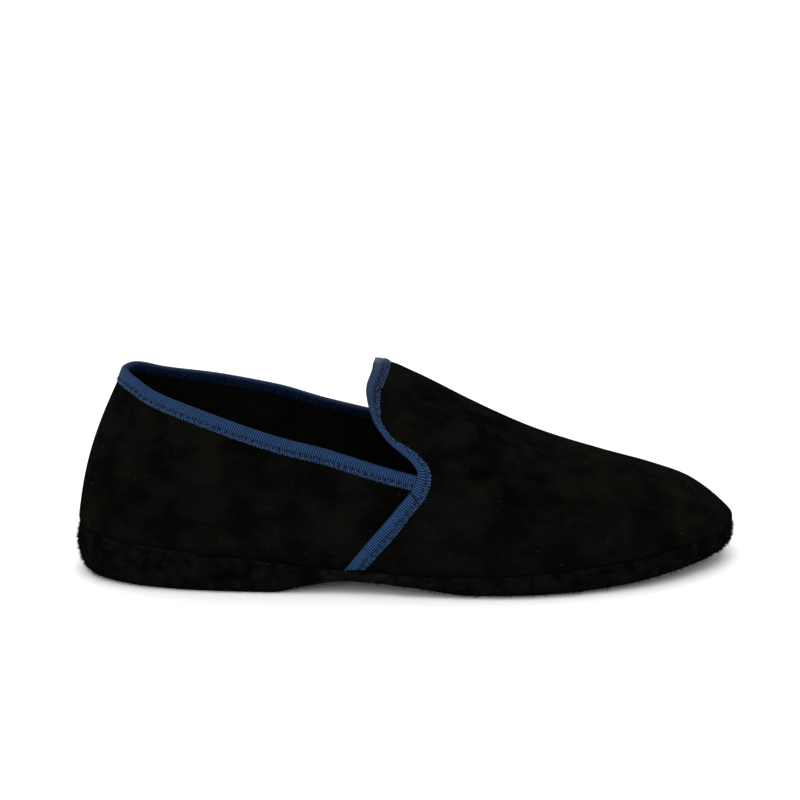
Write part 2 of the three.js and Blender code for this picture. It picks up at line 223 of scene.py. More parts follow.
def fromTable(rows, column, at):
    keys = np.array([row[0] for row in rows])
    values = np.array([row[column] for row in rows])
    slopes = np.diff(values) / np.diff(keys)
    product = slopes[:-1] * slopes[1:]
    total = np.where(product > 0, slopes[:-1] + slopes[1:], 1)
    tangents = np.concatenate([slopes[:1], np.where(product > 0, 2 * product / total, 0), slopes[-1:]])
    x = np.clip(at, keys[0], keys[-1])
    i = np.clip(np.searchsorted(keys, x, side="right") - 1, 0, len(keys) - 2)
    span = keys[i + 1] - keys[i]
    t = (x - keys[i]) / span
    return (
        values[i] * (2 * t**3 - 3 * t**2 + 1)
        + values[i + 1] * (3 * t**2 - 2 * t**3)
        + tangents[i] * span * (t**3 - 2 * t**2 + t)
        + tangents[i + 1] * span * (t**3 - t**2)
    )


def sizeAlong(rows, column, x):
    return fromTable(rows, column, np.asarray(x) / length)


def crestHeight(x):
    return shoe["tongueHeight"] * sizeAlong(crestRows, 1, x)


def featherHeight(x):
    return shoe["heelThickness"] * sizeAlong(soleRows, 1, x)


def underside(x):
    return shoe["archLift"] * sizeAlong(soleRows, 2, x) + shoe["toeSpring"] * sizeAlong(soleRows, 3, x)


def edgeRound(x):
    return shoe["soleEdgeRound"] * sizeAlong(soleRows, 4, x)


def breastX(z):
    return length * fromTable(breastRows, 1, z / shoe["heelThickness"])


def throatX(z, inner):
    share = z / shoe["tongueHeight"]
    return length * np.where(inner, fromTable(throatRows, 2, share), fromTable(throatRows, 1, share))


def toplineZ(x, inner):
    rise = shoe["innerRise"] * smooth((x / length - shoe["riseStart"]) / shoe["riseSpan"])
    return shoe["heelHeight"] * sizeAlong(toplineRows, 1, x) + np.where(inner, rise, 0)


# The outline as a closed curve: u = 0 at the heel's back, then the outer side, toe at u = 0.5

outlinePoints = np.array(
    [(along * length, -outer * shoe["ballWidth"]) for along, outer, _ in outlineRows]
    + [(along * length, inner * shoe["ballWidth"]) for along, _, inner in outlineRows[-2:0:-1]]
)


def onOutline(u):
    count = len(outlinePoints)
    place = (u - np.floor(u)) * count
    i = np.floor(place).astype(int) % count
    w = (place - np.floor(place))[..., None]
    p0, p1, p2, p3 = [outlinePoints[(i + k) % count] for k in (-1, 0, 1, 2)]
    pairs = ((p0, p1), (p1, p2), (p2, p3))
    d0, d1, d2 = [np.sqrt(np.linalg.norm(b - a, axis=-1))[..., None] for a, b in pairs]
    t1 = d1 * ((p1 - p0) / d0 - (p2 - p0) / (d0 + d1) + (p2 - p1) / d1)
    t2 = d1 * ((p2 - p1) / d1 - (p3 - p1) / (d1 + d2) + (p3 - p2) / d2)
    return p1 + t1 * w + (3 * (p2 - p1) - 2 * t1 - t2) * w**2 + (2 * (p1 - p2) + t1 + t2) * w**3


def outlinePoint(u, out):
    u, out = np.broadcast_arrays(u, out)
    along = onOutline(u + 0.002) - onOutline(u - 0.002)
    along = along / np.linalg.norm(along, axis=-1)[..., None]
    return onOutline(u) + np.stack([along[..., 1] * out, -along[..., 0] * out], -1)


def crestPoint(u):
    share = (onOutline(u)[..., 0] + onOutline(1 - u)[..., 0]) / 2 / length
    eased = share + shoe["crestEase"] * (0.5 - 0.5 * np.cos(np.pi * share) - share)
    x = shoe["heelBackLean"] + (length - shoe["crestEndGap"] - shoe["heelBackLean"]) * eased
    drift = np.maximum(0, (x / length - shoe["driftStart"]) / (1 - shoe["driftStart"]))
    return np.stack([x, shoe["crestDrift"] * drift**1.2], -1)


def softRelief(x, z, inner):
    side = np.where(inner, 1, -1)
    total = np.zeros(np.shape(x))
    for along, height, where, reach, width, turn, depth in softRows:
        c, s = math.cos(math.radians(turn)), math.sin(math.radians(turn))
        a = ((x - along) * c + (z - height) * s) / reach
        b = ((z - height) * c - (x - along) * s) / width
        total += np.where(side * where < 0, 0, depth) * np.exp(-a * a - b * b)
    return total


# The tuck above the feather line fades out at the toe's tip.
toeTuck = {"from": 262.0, "reach": 20.0, "less": 1.3}


# A point of the upper: u round the outline, t from the feather line (0) over the crest (1) and down the
# other side (2), below 0 straight down. out grows the surface and lap raises the front panel's back edge.
def lastPoint(u, t, out=0.0, lap=0.0, lift=0.0):
    u, t, out = np.broadcast_arrays(np.asarray(u, float), np.asarray(t, float), np.asarray(out, float))
    u, t = np.where(t > 1, 1 - u, u), np.where(t > 1, 2 - t, t)
    inner = (u - np.floor(u)) > 0.5
    crest = crestPoint(u)
    base = onOutline(u)
    exponent = 2 / sizeAlong(crestRows, 2, base[..., 0])
    angle = np.clip(t, 0, 1) * np.pi / 2
    rise = np.where(t < 1, np.sin(angle) ** exponent + np.minimum(0, t) * np.pi / 2, 1)
    lean = np.where(t < 1, 1 - np.maximum(np.cos(angle), 0) ** exponent, 1)
    bulge = shoe["sideBulge"] * np.sin(np.pi * np.clip(rise / shoe["bulgeTop"], 0, 1)) ** 2
    inward = (lean - bulge)[..., None]
    roughX = base[..., 0] + (crest[..., 0] - base[..., 0]) * inward[..., 0]
    roughZ = featherHeight(roughX) + (crestHeight(roughX) - featherHeight(roughX)) * rise
    upFeather = roughZ - featherHeight(roughX)
    tip = smooth((roughX - toeTuck["from"]) / toeTuck["reach"])
    tucked = shoe["featherTuck"] * (1 - toeTuck["less"] * tip) * (1 - smooth(upFeather / shoe["tuckHeight"]))
    lapped = lap * (1 - smooth((roughX - throatX(roughZ, inner)) / shoe["lapWidth"]))
    soft = softRelief(roughX, roughZ, inner) * smooth(upFeather / 8)
    grown = out - tucked + lapped + soft
    foot = outlinePoint(u, grown)
    xy = foot + (crest - foot) * inward
    low = featherHeight(xy[..., 0]) + lift
    z = low + (crestHeight(xy[..., 0]) + grown - low) * rise
    return np.concatenate([xy, z[..., None]], -1)


def findShare(low, high, holds, size):
    start, end = np.full(size, float(low)), np.full(size, float(high))
    for _ in range(34):
        middle = (start + end) / 2
        kept = holds(middle)
        start, end = np.where(kept, middle, start), np.where(kept, end, middle)
    return (start + end) / 2


def toplineShare(u, out=0.0):
    inner = (u - np.floor(u)) > 0.5

    def below(t):
        p = lastPoint(u, t, out)
        return p[..., 2] < toplineZ(p[..., 0], inner)

    return findShare(0, 0.95, below, np.shape(u))


def throatShare(t, out=0.0, lap=0.0):
    def behind(u):
        p = lastPoint(u, t, out, lap)
        return p[..., 0] < throatX(p[..., 2], t > 1)

    return findShare(0.1, 0.45, behind, np.shape(t))


# Making meshes from grids of points

soleU = np.linspace(0, 1, 2001)
soleHull = outlinePoint(soleU, 0.12 * edgeRound(onOutline(soleU)[:, 0]))
shoeMiddle = (soleHull.min(0) + soleHull.max(0)) / 2
frameMiddle = np.array([(cadLow[k] + cadHigh[k]) / 2 / metre for k in (0, 1)])
intoFrame = np.array([*(frameMiddle - shoeMiddle), 0.0])
print("shoe moved into the frame by", intoFrame.round(3))


def gridFaces(rows, columns, start=0, turned=False):
    corner = start + np.arange(rows * columns).reshape(rows, columns)
    a, b, c, d = corner[:-1, :-1], corner[:-1, 1:], corner[1:, 1:], corner[1:, :-1]
    faces = np.stack([a, d, c, b] if turned else [a, b, c, d], -1)
    return faces.reshape(-1, 4).tolist()


def addMesh(name, points, faces, values=None):
    mesh = bpy.data.meshes.new(name)
    mesh.from_pydata(((np.asarray(points) + intoFrame) * metre).tolist(), [], faces)
    for key, data in (values or {}).items():
        kind = "FLOAT" if np.ndim(data) == 1 else "FLOAT_VECTOR"
        field = "value" if kind == "FLOAT" else "vector"
        mesh.attributes.new(key, kind, "POINT").data.foreach_set(field, np.ravel(data).astype(np.float32))
    shape = bmesh.new()
    shape.from_mesh(mesh)
    bmesh.ops.remove_doubles(shape, verts=shape.verts, dist=2e-6)
    bmesh.ops.recalc_face_normals(shape, faces=shape.faces)
    for face in shape.faces:
        face.smooth = True
    shape.to_mesh(mesh)
    shape.free()
    piece = bpy.data.objects.new(name, mesh)
    bpy.context.scene.collection.objects.link(piece)
    return piece


# A closed sheet between an outer and an inner grid of points. sides names the rims that are closed.
def sheetFaces(outer, inner, sides):
    rows, columns = outer.shape[:2]
    count = rows * columns
    faces = gridFaces(rows, columns) + gridFaces(rows, columns, count, True)
    corner = np.arange(count).reshape(rows, columns)
    rims = {"first": corner[0], "last": corner[-1], "low": corner[:, 0], "high": corner[:, -1]}
    for side in sides:
        rim = rims[side]
        faces += [(int(a), int(b), int(b) + count, int(a) + count) for a, b in zip(rim[:-1], rim[1:])]
    return np.concatenate([outer.reshape(-1, 3), inner.reshape(-1, 3)]), faces


# Side faces of a stack of closed rings, each a grid row.
def stackFaces(rows, columns):
    corner = np.arange(rows * columns).reshape(rows, columns)
    low, high = corner[:-1], corner[1:]
    return np.stack([low, np.roll(low, -1, 1), np.roll(high, -1, 1), high], -1).reshape(-1, 4).tolist()


# Rungs across a ring that runs once round an outline and back, from point i to point count - i.
def rungFaces(start, count):
    faces = []
    for i in range(count // 2):
        ring = dict.fromkeys((i, i + 1, (count - i - 1) % count, (count - i) % count))
        faces.append([start + k for k in ring])
    return [face for face in faces if len(face) > 2]


# Upper: quarters, front panel and their linings

quarters = {
    "leather": 1.0,
    "underPanel": 3.0,
    "margins": (8.0, 5.0, 2.5, 1.0),
    "columns": 230,
    "rows": 62,
    "seamDepth": 0.4,
    "seamWidth": 0.55,
    "seamPuff": 0.16,
    "puffAt": 1.6,
    "puffWidth": 1.1,
}

tableU = np.linspace(0, 0.5, 500)
outerTops = toplineShare(tableU)
innerTops = toplineShare(1 - tableU - 1e-9)


def topAt(u):
    return np.where(u >= 0, np.interp(u, tableU, outerTops), np.interp(-u, tableU, innerTops))


def backSeam(u):
    near = np.abs(u) < 0.06
    y = np.where(near, onOutline(u)[..., 1], 99)
    groove = -quarters["seamDepth"] * np.exp(-((y / quarters["seamWidth"]) ** 2))
    fromPuff = (np.abs(y) - quarters["puffAt"]) / quarters["puffWidth"]
    return groove + quarters["seamPuff"] * np.exp(-(fromPuff**2))


# The outline share, from -1 inside to 1 outside, of each column on each height row of the quarters.
def quarterGrid(columns, shares, underPanel):
    ends = []
    for side in (1, -1):
        def behind(u):
            p = lastPoint(side * u, shares * topAt(side * u))
            return p[..., 0] < throatX(p[..., 2], side < 0) + underPanel

        ends.append(findShare(0.1, 0.45, behind, len(shares)))
    middle = np.linspace(-0.02, 0.02, 21)
    across = np.unique(np.concatenate([np.linspace(-1, 1, columns + 1), middle]))
    front = np.where(across[:, None] > 0, ends[0][None, :], ends[1][None, :])
    return across[:, None] * front


def makeQuarters():
    shares = np.linspace(0, 1, quarters["rows"]) ** 1.1
    u = quarterGrid(quarters["columns"], shares, quarters["underPanel"])
    t = shares[None, :] * topAt(u)
    thick = quarters["leather"]
    outer = [lastPoint(u[:, 0], 0 * u[:, 0], -inset) for inset in quarters["margins"]]
    inner = [lastPoint(u[:, 0], 0 * u[:, 0], -inset - thick, lift=thick) for inset in quarters["margins"]]
    outer = np.concatenate([np.stack(outer, 1), lastPoint(u, t, backSeam(u))], 1)
    inner = np.concatenate([np.stack(inner, 1), lastPoint(u, t, -thick, lift=thick)], 1)
    return addMesh("quarters", *sheetFaces(outer, inner, ("first", "last", "low", "high")))


frontPanel = {
    "leather": 1.0,
    "margins": (8.0, 5.0, 2.5, 1.0),
    "rows": 150,
    "columns": 168,
}


# Points over the front of the foot, from its back edge to the toe and from one feather line to the other.
def panelGrid(rows, t, out, lap, behindEdge=0.0):
    inner = t > 1

    def behind(u):
        p = lastPoint(u, t, out, lap)
        return p[..., 0] < throatX(p[..., 2], inner) - behindEdge

    back = findShare(0.1, 0.45, behind, np.shape(t))
    share = np.linspace(0, 1, rows)[:, None]
    return back[None, :] + (0.5 - back[None, :]) * share


def makeFrontPanel():
    thick = frontPanel["leather"]
    lap = shoe["vampLap"]
    insets = np.array(frontPanel["margins"])
    steps = np.linspace(0, 2, frontPanel["columns"] + 1)
    t = np.concatenate([0 * insets, steps, 0 * insets + 2])
    inset = np.concatenate([insets, 0 * steps, insets[::-1]])
    outerU = panelGrid(frontPanel["rows"], t, 0.0, lap)
    innerU = panelGrid(frontPanel["rows"], t, -thick, 0.0)
    outer = lastPoint(outerU, t[None, :], -inset[None, :], lap)
    inner = lastPoint(innerU, t[None, :], -inset[None, :] - thick, lift=thick)
    return addMesh("front_panel", *sheetFaces(outer, inner, ("first", "low", "high")))


linings = {
    "thickness": 0.9,
    "quarterIn": 1.06,
    "panelIn": 1.02,
    "underPanel": 9.0,
    "quarterColumns": 130,
    "quarterRows": 30,
    "panelRows": 80,
    "panelColumns": 96,
}


def makeQuarterLining():
    near, far = linings["quarterIn"], linings["quarterIn"] + linings["thickness"]
    shares = np.linspace(0.0, 1, linings["quarterRows"])
    u = quarterGrid(linings["quarterColumns"], shares, linings["underPanel"])
    t = shares[None, :] * topAt(u)
    outer = lastPoint(u, t, -near, lift=near)
    inner = lastPoint(u, t, -far, lift=near)
    return addMesh("quarter_lining", *sheetFaces(outer, inner, ("first", "last", "low", "high")))


def makePanelLining():
    near, far = linings["panelIn"], linings["panelIn"] + linings["thickness"]
    t = np.linspace(0, 2, linings["panelColumns"] + 1)
    outerU = panelGrid(linings["panelRows"], t, -near, 0.0)
    innerU = panelGrid(linings["panelRows"], t, -far, 0.0)
    outer = lastPoint(outerU, t[None, :], -near, lift=near)
    inner = lastPoint(innerU, t[None, :], -far, lift=near)
    return addMesh("panel_lining", *sheetFaces(outer, inner, ("first", "low", "high")))


# Insole, sole and heel

insole = {
    "columns": 300,
    "heights": (0.0, 0.9, 1.8, 2.4),
    "edges": (0.0, 0.35, 0.8, 1.5),
    "drops": (0.45, 0.18, 0.05, 0.0),
    "spread": (0.06, 0.13, 0.22, 0.34, 0.48, 0.64, 0.82, 1.0),
    "clear": 0.15,
    "spine": {"from": 0.30, "share": 0.92, "back": 50.0, "aside": 0.3},
    "heelCup": {"depth": 0.7, "at": (42.0, 0.0), "reach": (34.0, 17.0)},
    "ballDish": {"depth": 0.5, "at": (188.0, 2.0), "reach": (40.0, 24.0)},
}


def dishAt(dish, xy):
    away = [((xy[:, k] - dish["at"][k]) / dish["reach"][k]) ** 2 for k in (0, 1)]
    return dish["depth"] * np.exp(-away[0] - away[1])


def makeInsole():
    seat = shoe["wall"] + shoe["seatGap"]
    top = seat + shoe["insoleThickness"]
    u = np.arange(insole["columns"]) / insole["columns"]
    rings = []

    def ringAt(up, inset):
        def under(t):
            p = lastPoint(u, t, -seat - insole["clear"], lift=seat)
            return p[..., 2] - featherHeight(p[..., 0]) < up

        t = findShare(0, 0.5, under, len(u))
        ring = lastPoint(u, t, -seat - insole["clear"] - inset, lift=seat)
        ring[:, 2] = featherHeight(ring[:, 0]) + up
        return ring

    rings += [ringAt(seat + up, 0.0) for up in insole["heights"]]
    rings += [ringAt(top - drop, edge) for drop, edge in zip(insole["drops"], insole["edges"])]
    rim = rings[-1]
    crest = crestPoint(u)
    spine = insole["spine"]
    spineX = spine["from"] * length + (crest[:, 0] - shoe["heelBackLean"]) * spine["share"] - spine["back"]
    centre = np.stack([spineX, spine["aside"] * crest[:, 1]], -1)
    for share in insole["spread"]:
        xy = rim[:, :2] + (centre - rim[:, :2]) * share
        dish = dishAt(insole["heelCup"], xy) + dishAt(insole["ballDish"], xy)
        rings.append(np.column_stack([xy, featherHeight(xy[:, 0]) + top - dish]))
    rings = np.array(rings)
    faces = stackFaces(*rings.shape[:2]) + rungFaces(0, insole["columns"])
    return addMesh("padded_insole", rings.reshape(-1, 3), faces)


sole = {
    "levels": 26,
    "outerPoints": 340,
    "acrossPoints": 18,
    "breastGap": 0.6,
    "unevenness": 0.16,
}


def soleSide(u, up):
    x = onOutline(u)[..., 0]
    waves = np.sin(u * 151) * np.sin(u * 67 + 1.3) + 0.6 * np.sin(u * 263 + 0.4 + 3 * up)
    uneven = sole["unevenness"] * waves * np.sin(np.pi * np.clip(up, 0, 1))
    xy = outlinePoint(u, fromTable(soleEdgeRows, 1, up) * edgeRound(x) + uneven)
    top = featherHeight(xy[..., 0]) - shoe["seatGap"]
    return np.concatenate([xy, (underside(x) + (top - underside(x)) * up)[..., None]], -1)


# Each level is a ring: the side from end to end, then straight back across at the breast. The flat top
# and bottom are grids between the two halves of the side, drawn together at the far end.
def solePiece(name, forward, gap):
    levels = np.linspace(0, 1, sole["levels"]) ** 1.35
    count, across = sole["outerPoints"], sole["acrossPoints"]
    share = np.linspace(0, 1, across + 1)
    rings = []
    for up in levels:
        ends = []
        for side in (1, -1):
            def behind(u):
                p = soleSide(side * u, up + 0 * u)
                return p[..., 0] < breastX(p[..., 2]) + gap

            ends.append(float(findShare(0.1, 0.45, behind, 1)[0]))
        first, last = (ends[0], 1 - ends[1]) if forward else (-ends[1], ends[0])
        u = np.linspace(first, last, count)
        side = soleSide(u, up + 0 * u)
        rings.append(np.concatenate([side, side[-1] + (side[0] - side[-1]) * share[1:-1, None]]))
    rings = np.array(rings)
    faces = stackFaces(*rings.shape[:2])
    points = [rings.reshape(-1, 3)]
    start = len(points[0])
    half = count // 2
    for ring in (rings[0], rings[-1]):
        low, high = ring[:half], ring[count - half : count][::-1]
        grid = low[:, None] + (high - low)[:, None] * share[None, :, None]
        grid[-1, 1:-1] = grid[-1, 0]
        faces += gridFaces(half, across + 1, start)
        points.append(grid.reshape(-1, 3))
        start += half * (across + 1)
    return addMesh(name, np.concatenate(points), faces)


# Ribbon: a strip of grosgrain folded in half over an edge of the upper. Each row of the fold is the
# depth through the wall, the distance from its edge and the height over the face, in mm.

ribbon = {
    "ribPitch": 0.96,
    "samplesPerRib": 5,
    "ribArch": 0.45,
    "cloth": 0.45,
    "foldReach": 0.62,
    "height": 0.92,
    "innerHeight": 0.80,
    "outerRows": (
        (6.0, 0.34), (5.75, 0.52), (5.4, 0.62), (4.95, 0.60), (4.6, 0.54), (4.25, 0.58),
        (3.8, 0.68), (3.1, 0.80), (2.2, 0.88), (1.3, 0.92), (0.5, 0.92),
    ),
    "innerRows": ((0.5, 0.80), (1.5, 0.76), (2.4, 0.68), (3.0, 0.60), (3.5, 0.50), (3.7, 0.34)),
    "foldSteps": 8,
    "stitchFromEdge": 1.4,
    "restOn": 0.06,
    "tuckIn": 1.5,
    "tuckShare": 0.014,
    "lowest": -0.03,
    "belowFeather": 0.03,
    "creaseWidth": 0.55,
    "toplineLeg": 0.89,
}

# height as a share of the tongue height, width of the front panel's outer leg as a share of the full width
legRows = [
    (0.00, 0.97),
    (0.30, 0.97),
    (0.42, 0.86),
    (0.50, 0.88),
    (0.57, 0.66),
    (0.63, 0.50),
    (0.68, 0.34),
    (0.73, 0.36),
    (0.79, 0.62),
    (0.85, 0.88),
    (0.92, 1.00),
    (1.00, 0.98),
]


def foldRows():
    rows = [(0.0, distance, height) for distance, height in ribbon["outerRows"]]
    for step in range(ribbon["foldSteps"]):
        angle = math.pi * step / (ribbon["foldSteps"] - 1)
        high = ribbon["height"] if angle < math.pi / 2 else ribbon["innerHeight"]
        reach = ribbon["foldReach"] * math.sin(angle) ** 0.85
        rows.append(((1 - math.cos(angle)) / 2, -reach, high * math.cos(angle)))
    rows += [(1.0, distance, -height) for distance, height in ribbon["innerRows"]]
    return np.array(rows)


# The outline and height shares found by going a distance over the surface, square to an edge.
def squareToEdge(u, t, aheadU, aheadT, hint, distance):
    fine = 0.0005
    at = lastPoint(u, t)
    alongU = (lastPoint(u + fine, t) - at) / fine
    alongT = (lastPoint(u, t + fine) - at) / fine
    edge = lastPoint(aheadU, aheadT) - at
    edge /= np.linalg.norm(edge, axis=-1)[..., None]
    normal = np.cross(alongU, alongT)
    normal /= np.linalg.norm(normal, axis=-1)[..., None]
    square = np.cross(normal, edge)
    square /= np.linalg.norm(square, axis=-1)[..., None]
    a, b, c = (alongU**2).sum(-1), (alongU * alongT).sum(-1), (alongT**2).sum(-1)
    p, q = (square * alongU).sum(-1), (square * alongT).sum(-1)
    stepU, stepT = (p * c - q * b) / (a * c - b * b), (q * a - p * b) / (a * c - b * b)
    forward = np.sign(stepU * hint[0] + stepT * hint[1]) * distance
    return u + stepU * forward, t + stepT * forward


def toplineLegWidth(points):
    return np.full(len(points), ribbon["toplineLeg"])


def panelLegWidth(points):
    return fromTable(legRows, 1, points[:, 2] / shoe["tongueHeight"])


# outerEdge and innerEdge give the outline and height shares of the wall's two corners for a share of
# the way; laid says how far the fold lies flat on what is under it instead of going round the wall, and
# widthAt how wide the outer leg is. creases are heights where the outer leg is pleated.
def makeRibbon(name, low, high, outerEdge, innerEdge, hint, lap, laid, widthAt, creases):
    shares = np.linspace(low, high, 1200)
    line = lastPoint(*outerEdge(shares), 0.0, lap)
    steps = np.linalg.norm(np.diff(line, axis=0), axis=1)
    travelled = np.concatenate([[0], np.cumsum(steps)])
    spacing = ribbon["ribPitch"] / ribbon["samplesPerRib"]
    places = np.arange(0, travelled[-1], spacing)
    way = np.interp(places, travelled, shares)
    outerU, outerT = outerEdge(way)
    innerU, innerT = innerEdge(way)
    smoothing = ribbon["samplesPerRib"] * 2
    rows = foldRows()
    edgeLine = lastPoint(outerU, outerT)
    flat = laid(edgeLine)
    legWidth = widthAt(edgeLine)
    skins = []
    for cloth in (0.0, ribbon["cloth"]):
        skin = []
        for depth, distance, height in rows:
            u = outerU + (innerU - outerU) * depth
            t = outerT + (innerT - outerT) * depth
            aheadU = u + (np.roll(u, -smoothing) - np.roll(u, smoothing)) / 8
            aheadT = t + (np.roll(t, -smoothing) - np.roll(t, smoothing)) / 8
            for edge, inside in ((slice(0, smoothing), smoothing), (slice(-smoothing, None), -smoothing - 1)):
                aheadU[edge] = u[edge] + aheadU[inside] - u[inside]
                aheadT[edge] = t[edge] + aheadT[inside] - t[inside]
            onLeg = distance > 0 and depth < 0.5
            placed = distance * (legWidth if onLeg else np.ones(len(way)))
            if distance < 0:
                placed = placed + cloth * (1 - abs(2 * depth - 1))
            atU, atT = squareToEdge(u, t, aheadU, aheadT, hint, placed)
            atT = np.clip(atT, ribbon["lowest"], 2 - ribbon["lowest"])
            nearSole = 1 - smooth(np.minimum(atT, 2 - atT) / ribbon["tuckShare"])
            over = np.sign(height) * np.maximum(abs(height) - cloth, 0.05)
            out = over - shoe["wall"] * depth - ribbon["tuckIn"] * nearSole * (1 - depth)
            raised = lap * (1 - depth) * np.ones(len(way))
            resting = np.maximum(out, ribbon["restOn"] - raised)
            skin.append(lastPoint(atU, atT, out + (resting - out) * flat, raised))
        skins.append(np.stack(skin, 1))
    outer, inner = skins
    across = np.concatenate([[0], np.cumsum(np.linalg.norm(np.diff(outer, axis=1), axis=2).mean(0))])
    count = outer.shape[0] * outer.shape[1]
    edgeWay = np.zeros_like(outer)
    for row, beside in ((0, 2), (-1, -3)):
        away = outer[:, row] - outer[:, beside]
        away /= np.linalg.norm(away, axis=-1)[..., None]
        edgeWay[:, row] = away
        edgeWay[:, 1 if row == 0 else -2] = away * 0.6
    points, faces = sheetFaces(outer, inner, ("first", "last", "low", "high"))
    arch = ribbon["ribArch"] * ((across - 3) / 3) ** 2 * (across < 8)
    along = (places[:, None] - arch[None, :]).ravel()
    wide = np.repeat(across[None, :], outer.shape[0], 0).ravel()
    crease = np.zeros(outer.shape[:2])
    for height, slant, side in creases:
        here = (edgeLine[:, 1] * side < 0) & (edgeLine[:, 2] < shoe["tongueHeight"] * 0.7)
        at = places[here][np.argmin(np.abs(edgeLine[here, 2] - height))]
        gap = (places[:, None] - at - slant * (across[None, :] - 3)) / ribbon["creaseWidth"]
        crease += np.exp(-gap * gap) * (across[None, :] < 7.5)
    values = {
        "along": np.concatenate([along, along]),
        "across": np.concatenate([wide, wide]),
        "crease": np.concatenate([crease.ravel(), crease.ravel()]),
        "tongue": np.full(2 * count, float(name == "vamp_ribbon")),
        "shown": np.concatenate([np.ones(count), np.zeros(count)]),
        "edgeWay": np.concatenate([edgeWay.reshape(-1, 3), np.zeros((count, 3))]),
    }
    piece = addMesh(name, points, faces, values)

    def lineAt(fromEdge):
        return outer[:, int(np.argmin(np.abs(across - fromEdge)))]

    return piece, lineAt, across[-1]


def toplineEdge(out):
    def edge(share):
        table = np.linspace(-0.3, 0.3, 600)
        tops = toplineShare(np.where(table < 0, 1 + table, table), out)
        return share, np.interp(share, table, tops)

    return edge


def throatEdge(out, lap):
    def edge(share):
        table = np.linspace(-0.08, 2.08, 900)
        return np.interp(share, table, throatShare(table, out, lap)), share

    return edge


# Geometry Nodes: each tree takes a mesh and named sizes, and gives a mesh with its material

def addNode(tree, kind, values=None, **settings):
    made = tree.nodes.new(kind)
    for key, value in settings.items():
        setattr(made, key, value)
    for key, value in (values or {}).items():
        if isinstance(value, bpy.types.NodeSocket):
            tree.links.new(value, made.inputs[key])
        else:
            made.inputs[key].default_value = value
    return made


def addMath(tree, operation, first, second=None, third=None):
    values = {k: v for k, v in enumerate((first, second, third)) if v is not None}
    return addNode(tree, "ShaderNodeMath", values, operation=operation).outputs[0]


def addScaled(tree, vector, scale):
    return addNode(tree, "ShaderNodeVectorMath", {0: vector, "Scale": scale}, operation="SCALE").outputs[0]


def startTree(name, sizes):
    tree = bpy.data.node_groups.new(name, "GeometryNodeTree")
    tree.interface.new_socket(name="Geometry", in_out="INPUT", socket_type="NodeSocketGeometry")
    for label in sizes:
        tree.interface.new_socket(name=label, in_out="INPUT", socket_type="NodeSocketFloat")
    tree.interface.new_socket(name="Material", in_out="INPUT", socket_type="NodeSocketMaterial")
    tree.interface.new_socket(name="Geometry", in_out="OUTPUT", socket_type="NodeSocketGeometry")
    return tree, addNode(tree, "NodeGroupInput").outputs


def endTree(tree, given, geometry):
    realized = addNode(tree, "GeometryNodeRealizeInstances", {"Geometry": geometry}).outputs[0]
    painted = addNode(tree, "GeometryNodeSetMaterial", {"Geometry": realized, "Material": given["Material"]})
    addNode(tree, "NodeGroupOutput", {"Geometry": painted.outputs[0]})
    return tree


def readAttribute(tree, name, kind="FLOAT"):
    return addNode(tree, "GeometryNodeInputNamedAttribute", {"Name": name}, data_type=kind).outputs[0]


# Runs a tree on a piece's mesh and keeps the result as the piece's plain mesh.
def runTree(piece, tree, sizes, material):
    modifier = piece.modifiers.new(tree.name, "NODES")
    modifier.node_group = tree
    for item in tree.interface.items_tree:
        if item.in_out == "INPUT" and item.name in sizes:
            modifier[item.identifier] = sizes[item.name]
        if item.in_out == "INPUT" and item.name == "Material":
            modifier[item.identifier] = material
    view = bpy.context.evaluated_depsgraph_get()
    view.update()
    made = bpy.data.meshes.new_from_object(piece.evaluated_get(view), depsgraph=view)
    piece.modifiers.remove(modifier)
    piece.data = made
    made.shade_smooth()
    if not made.materials:
        made.materials.append(material)
    return piece


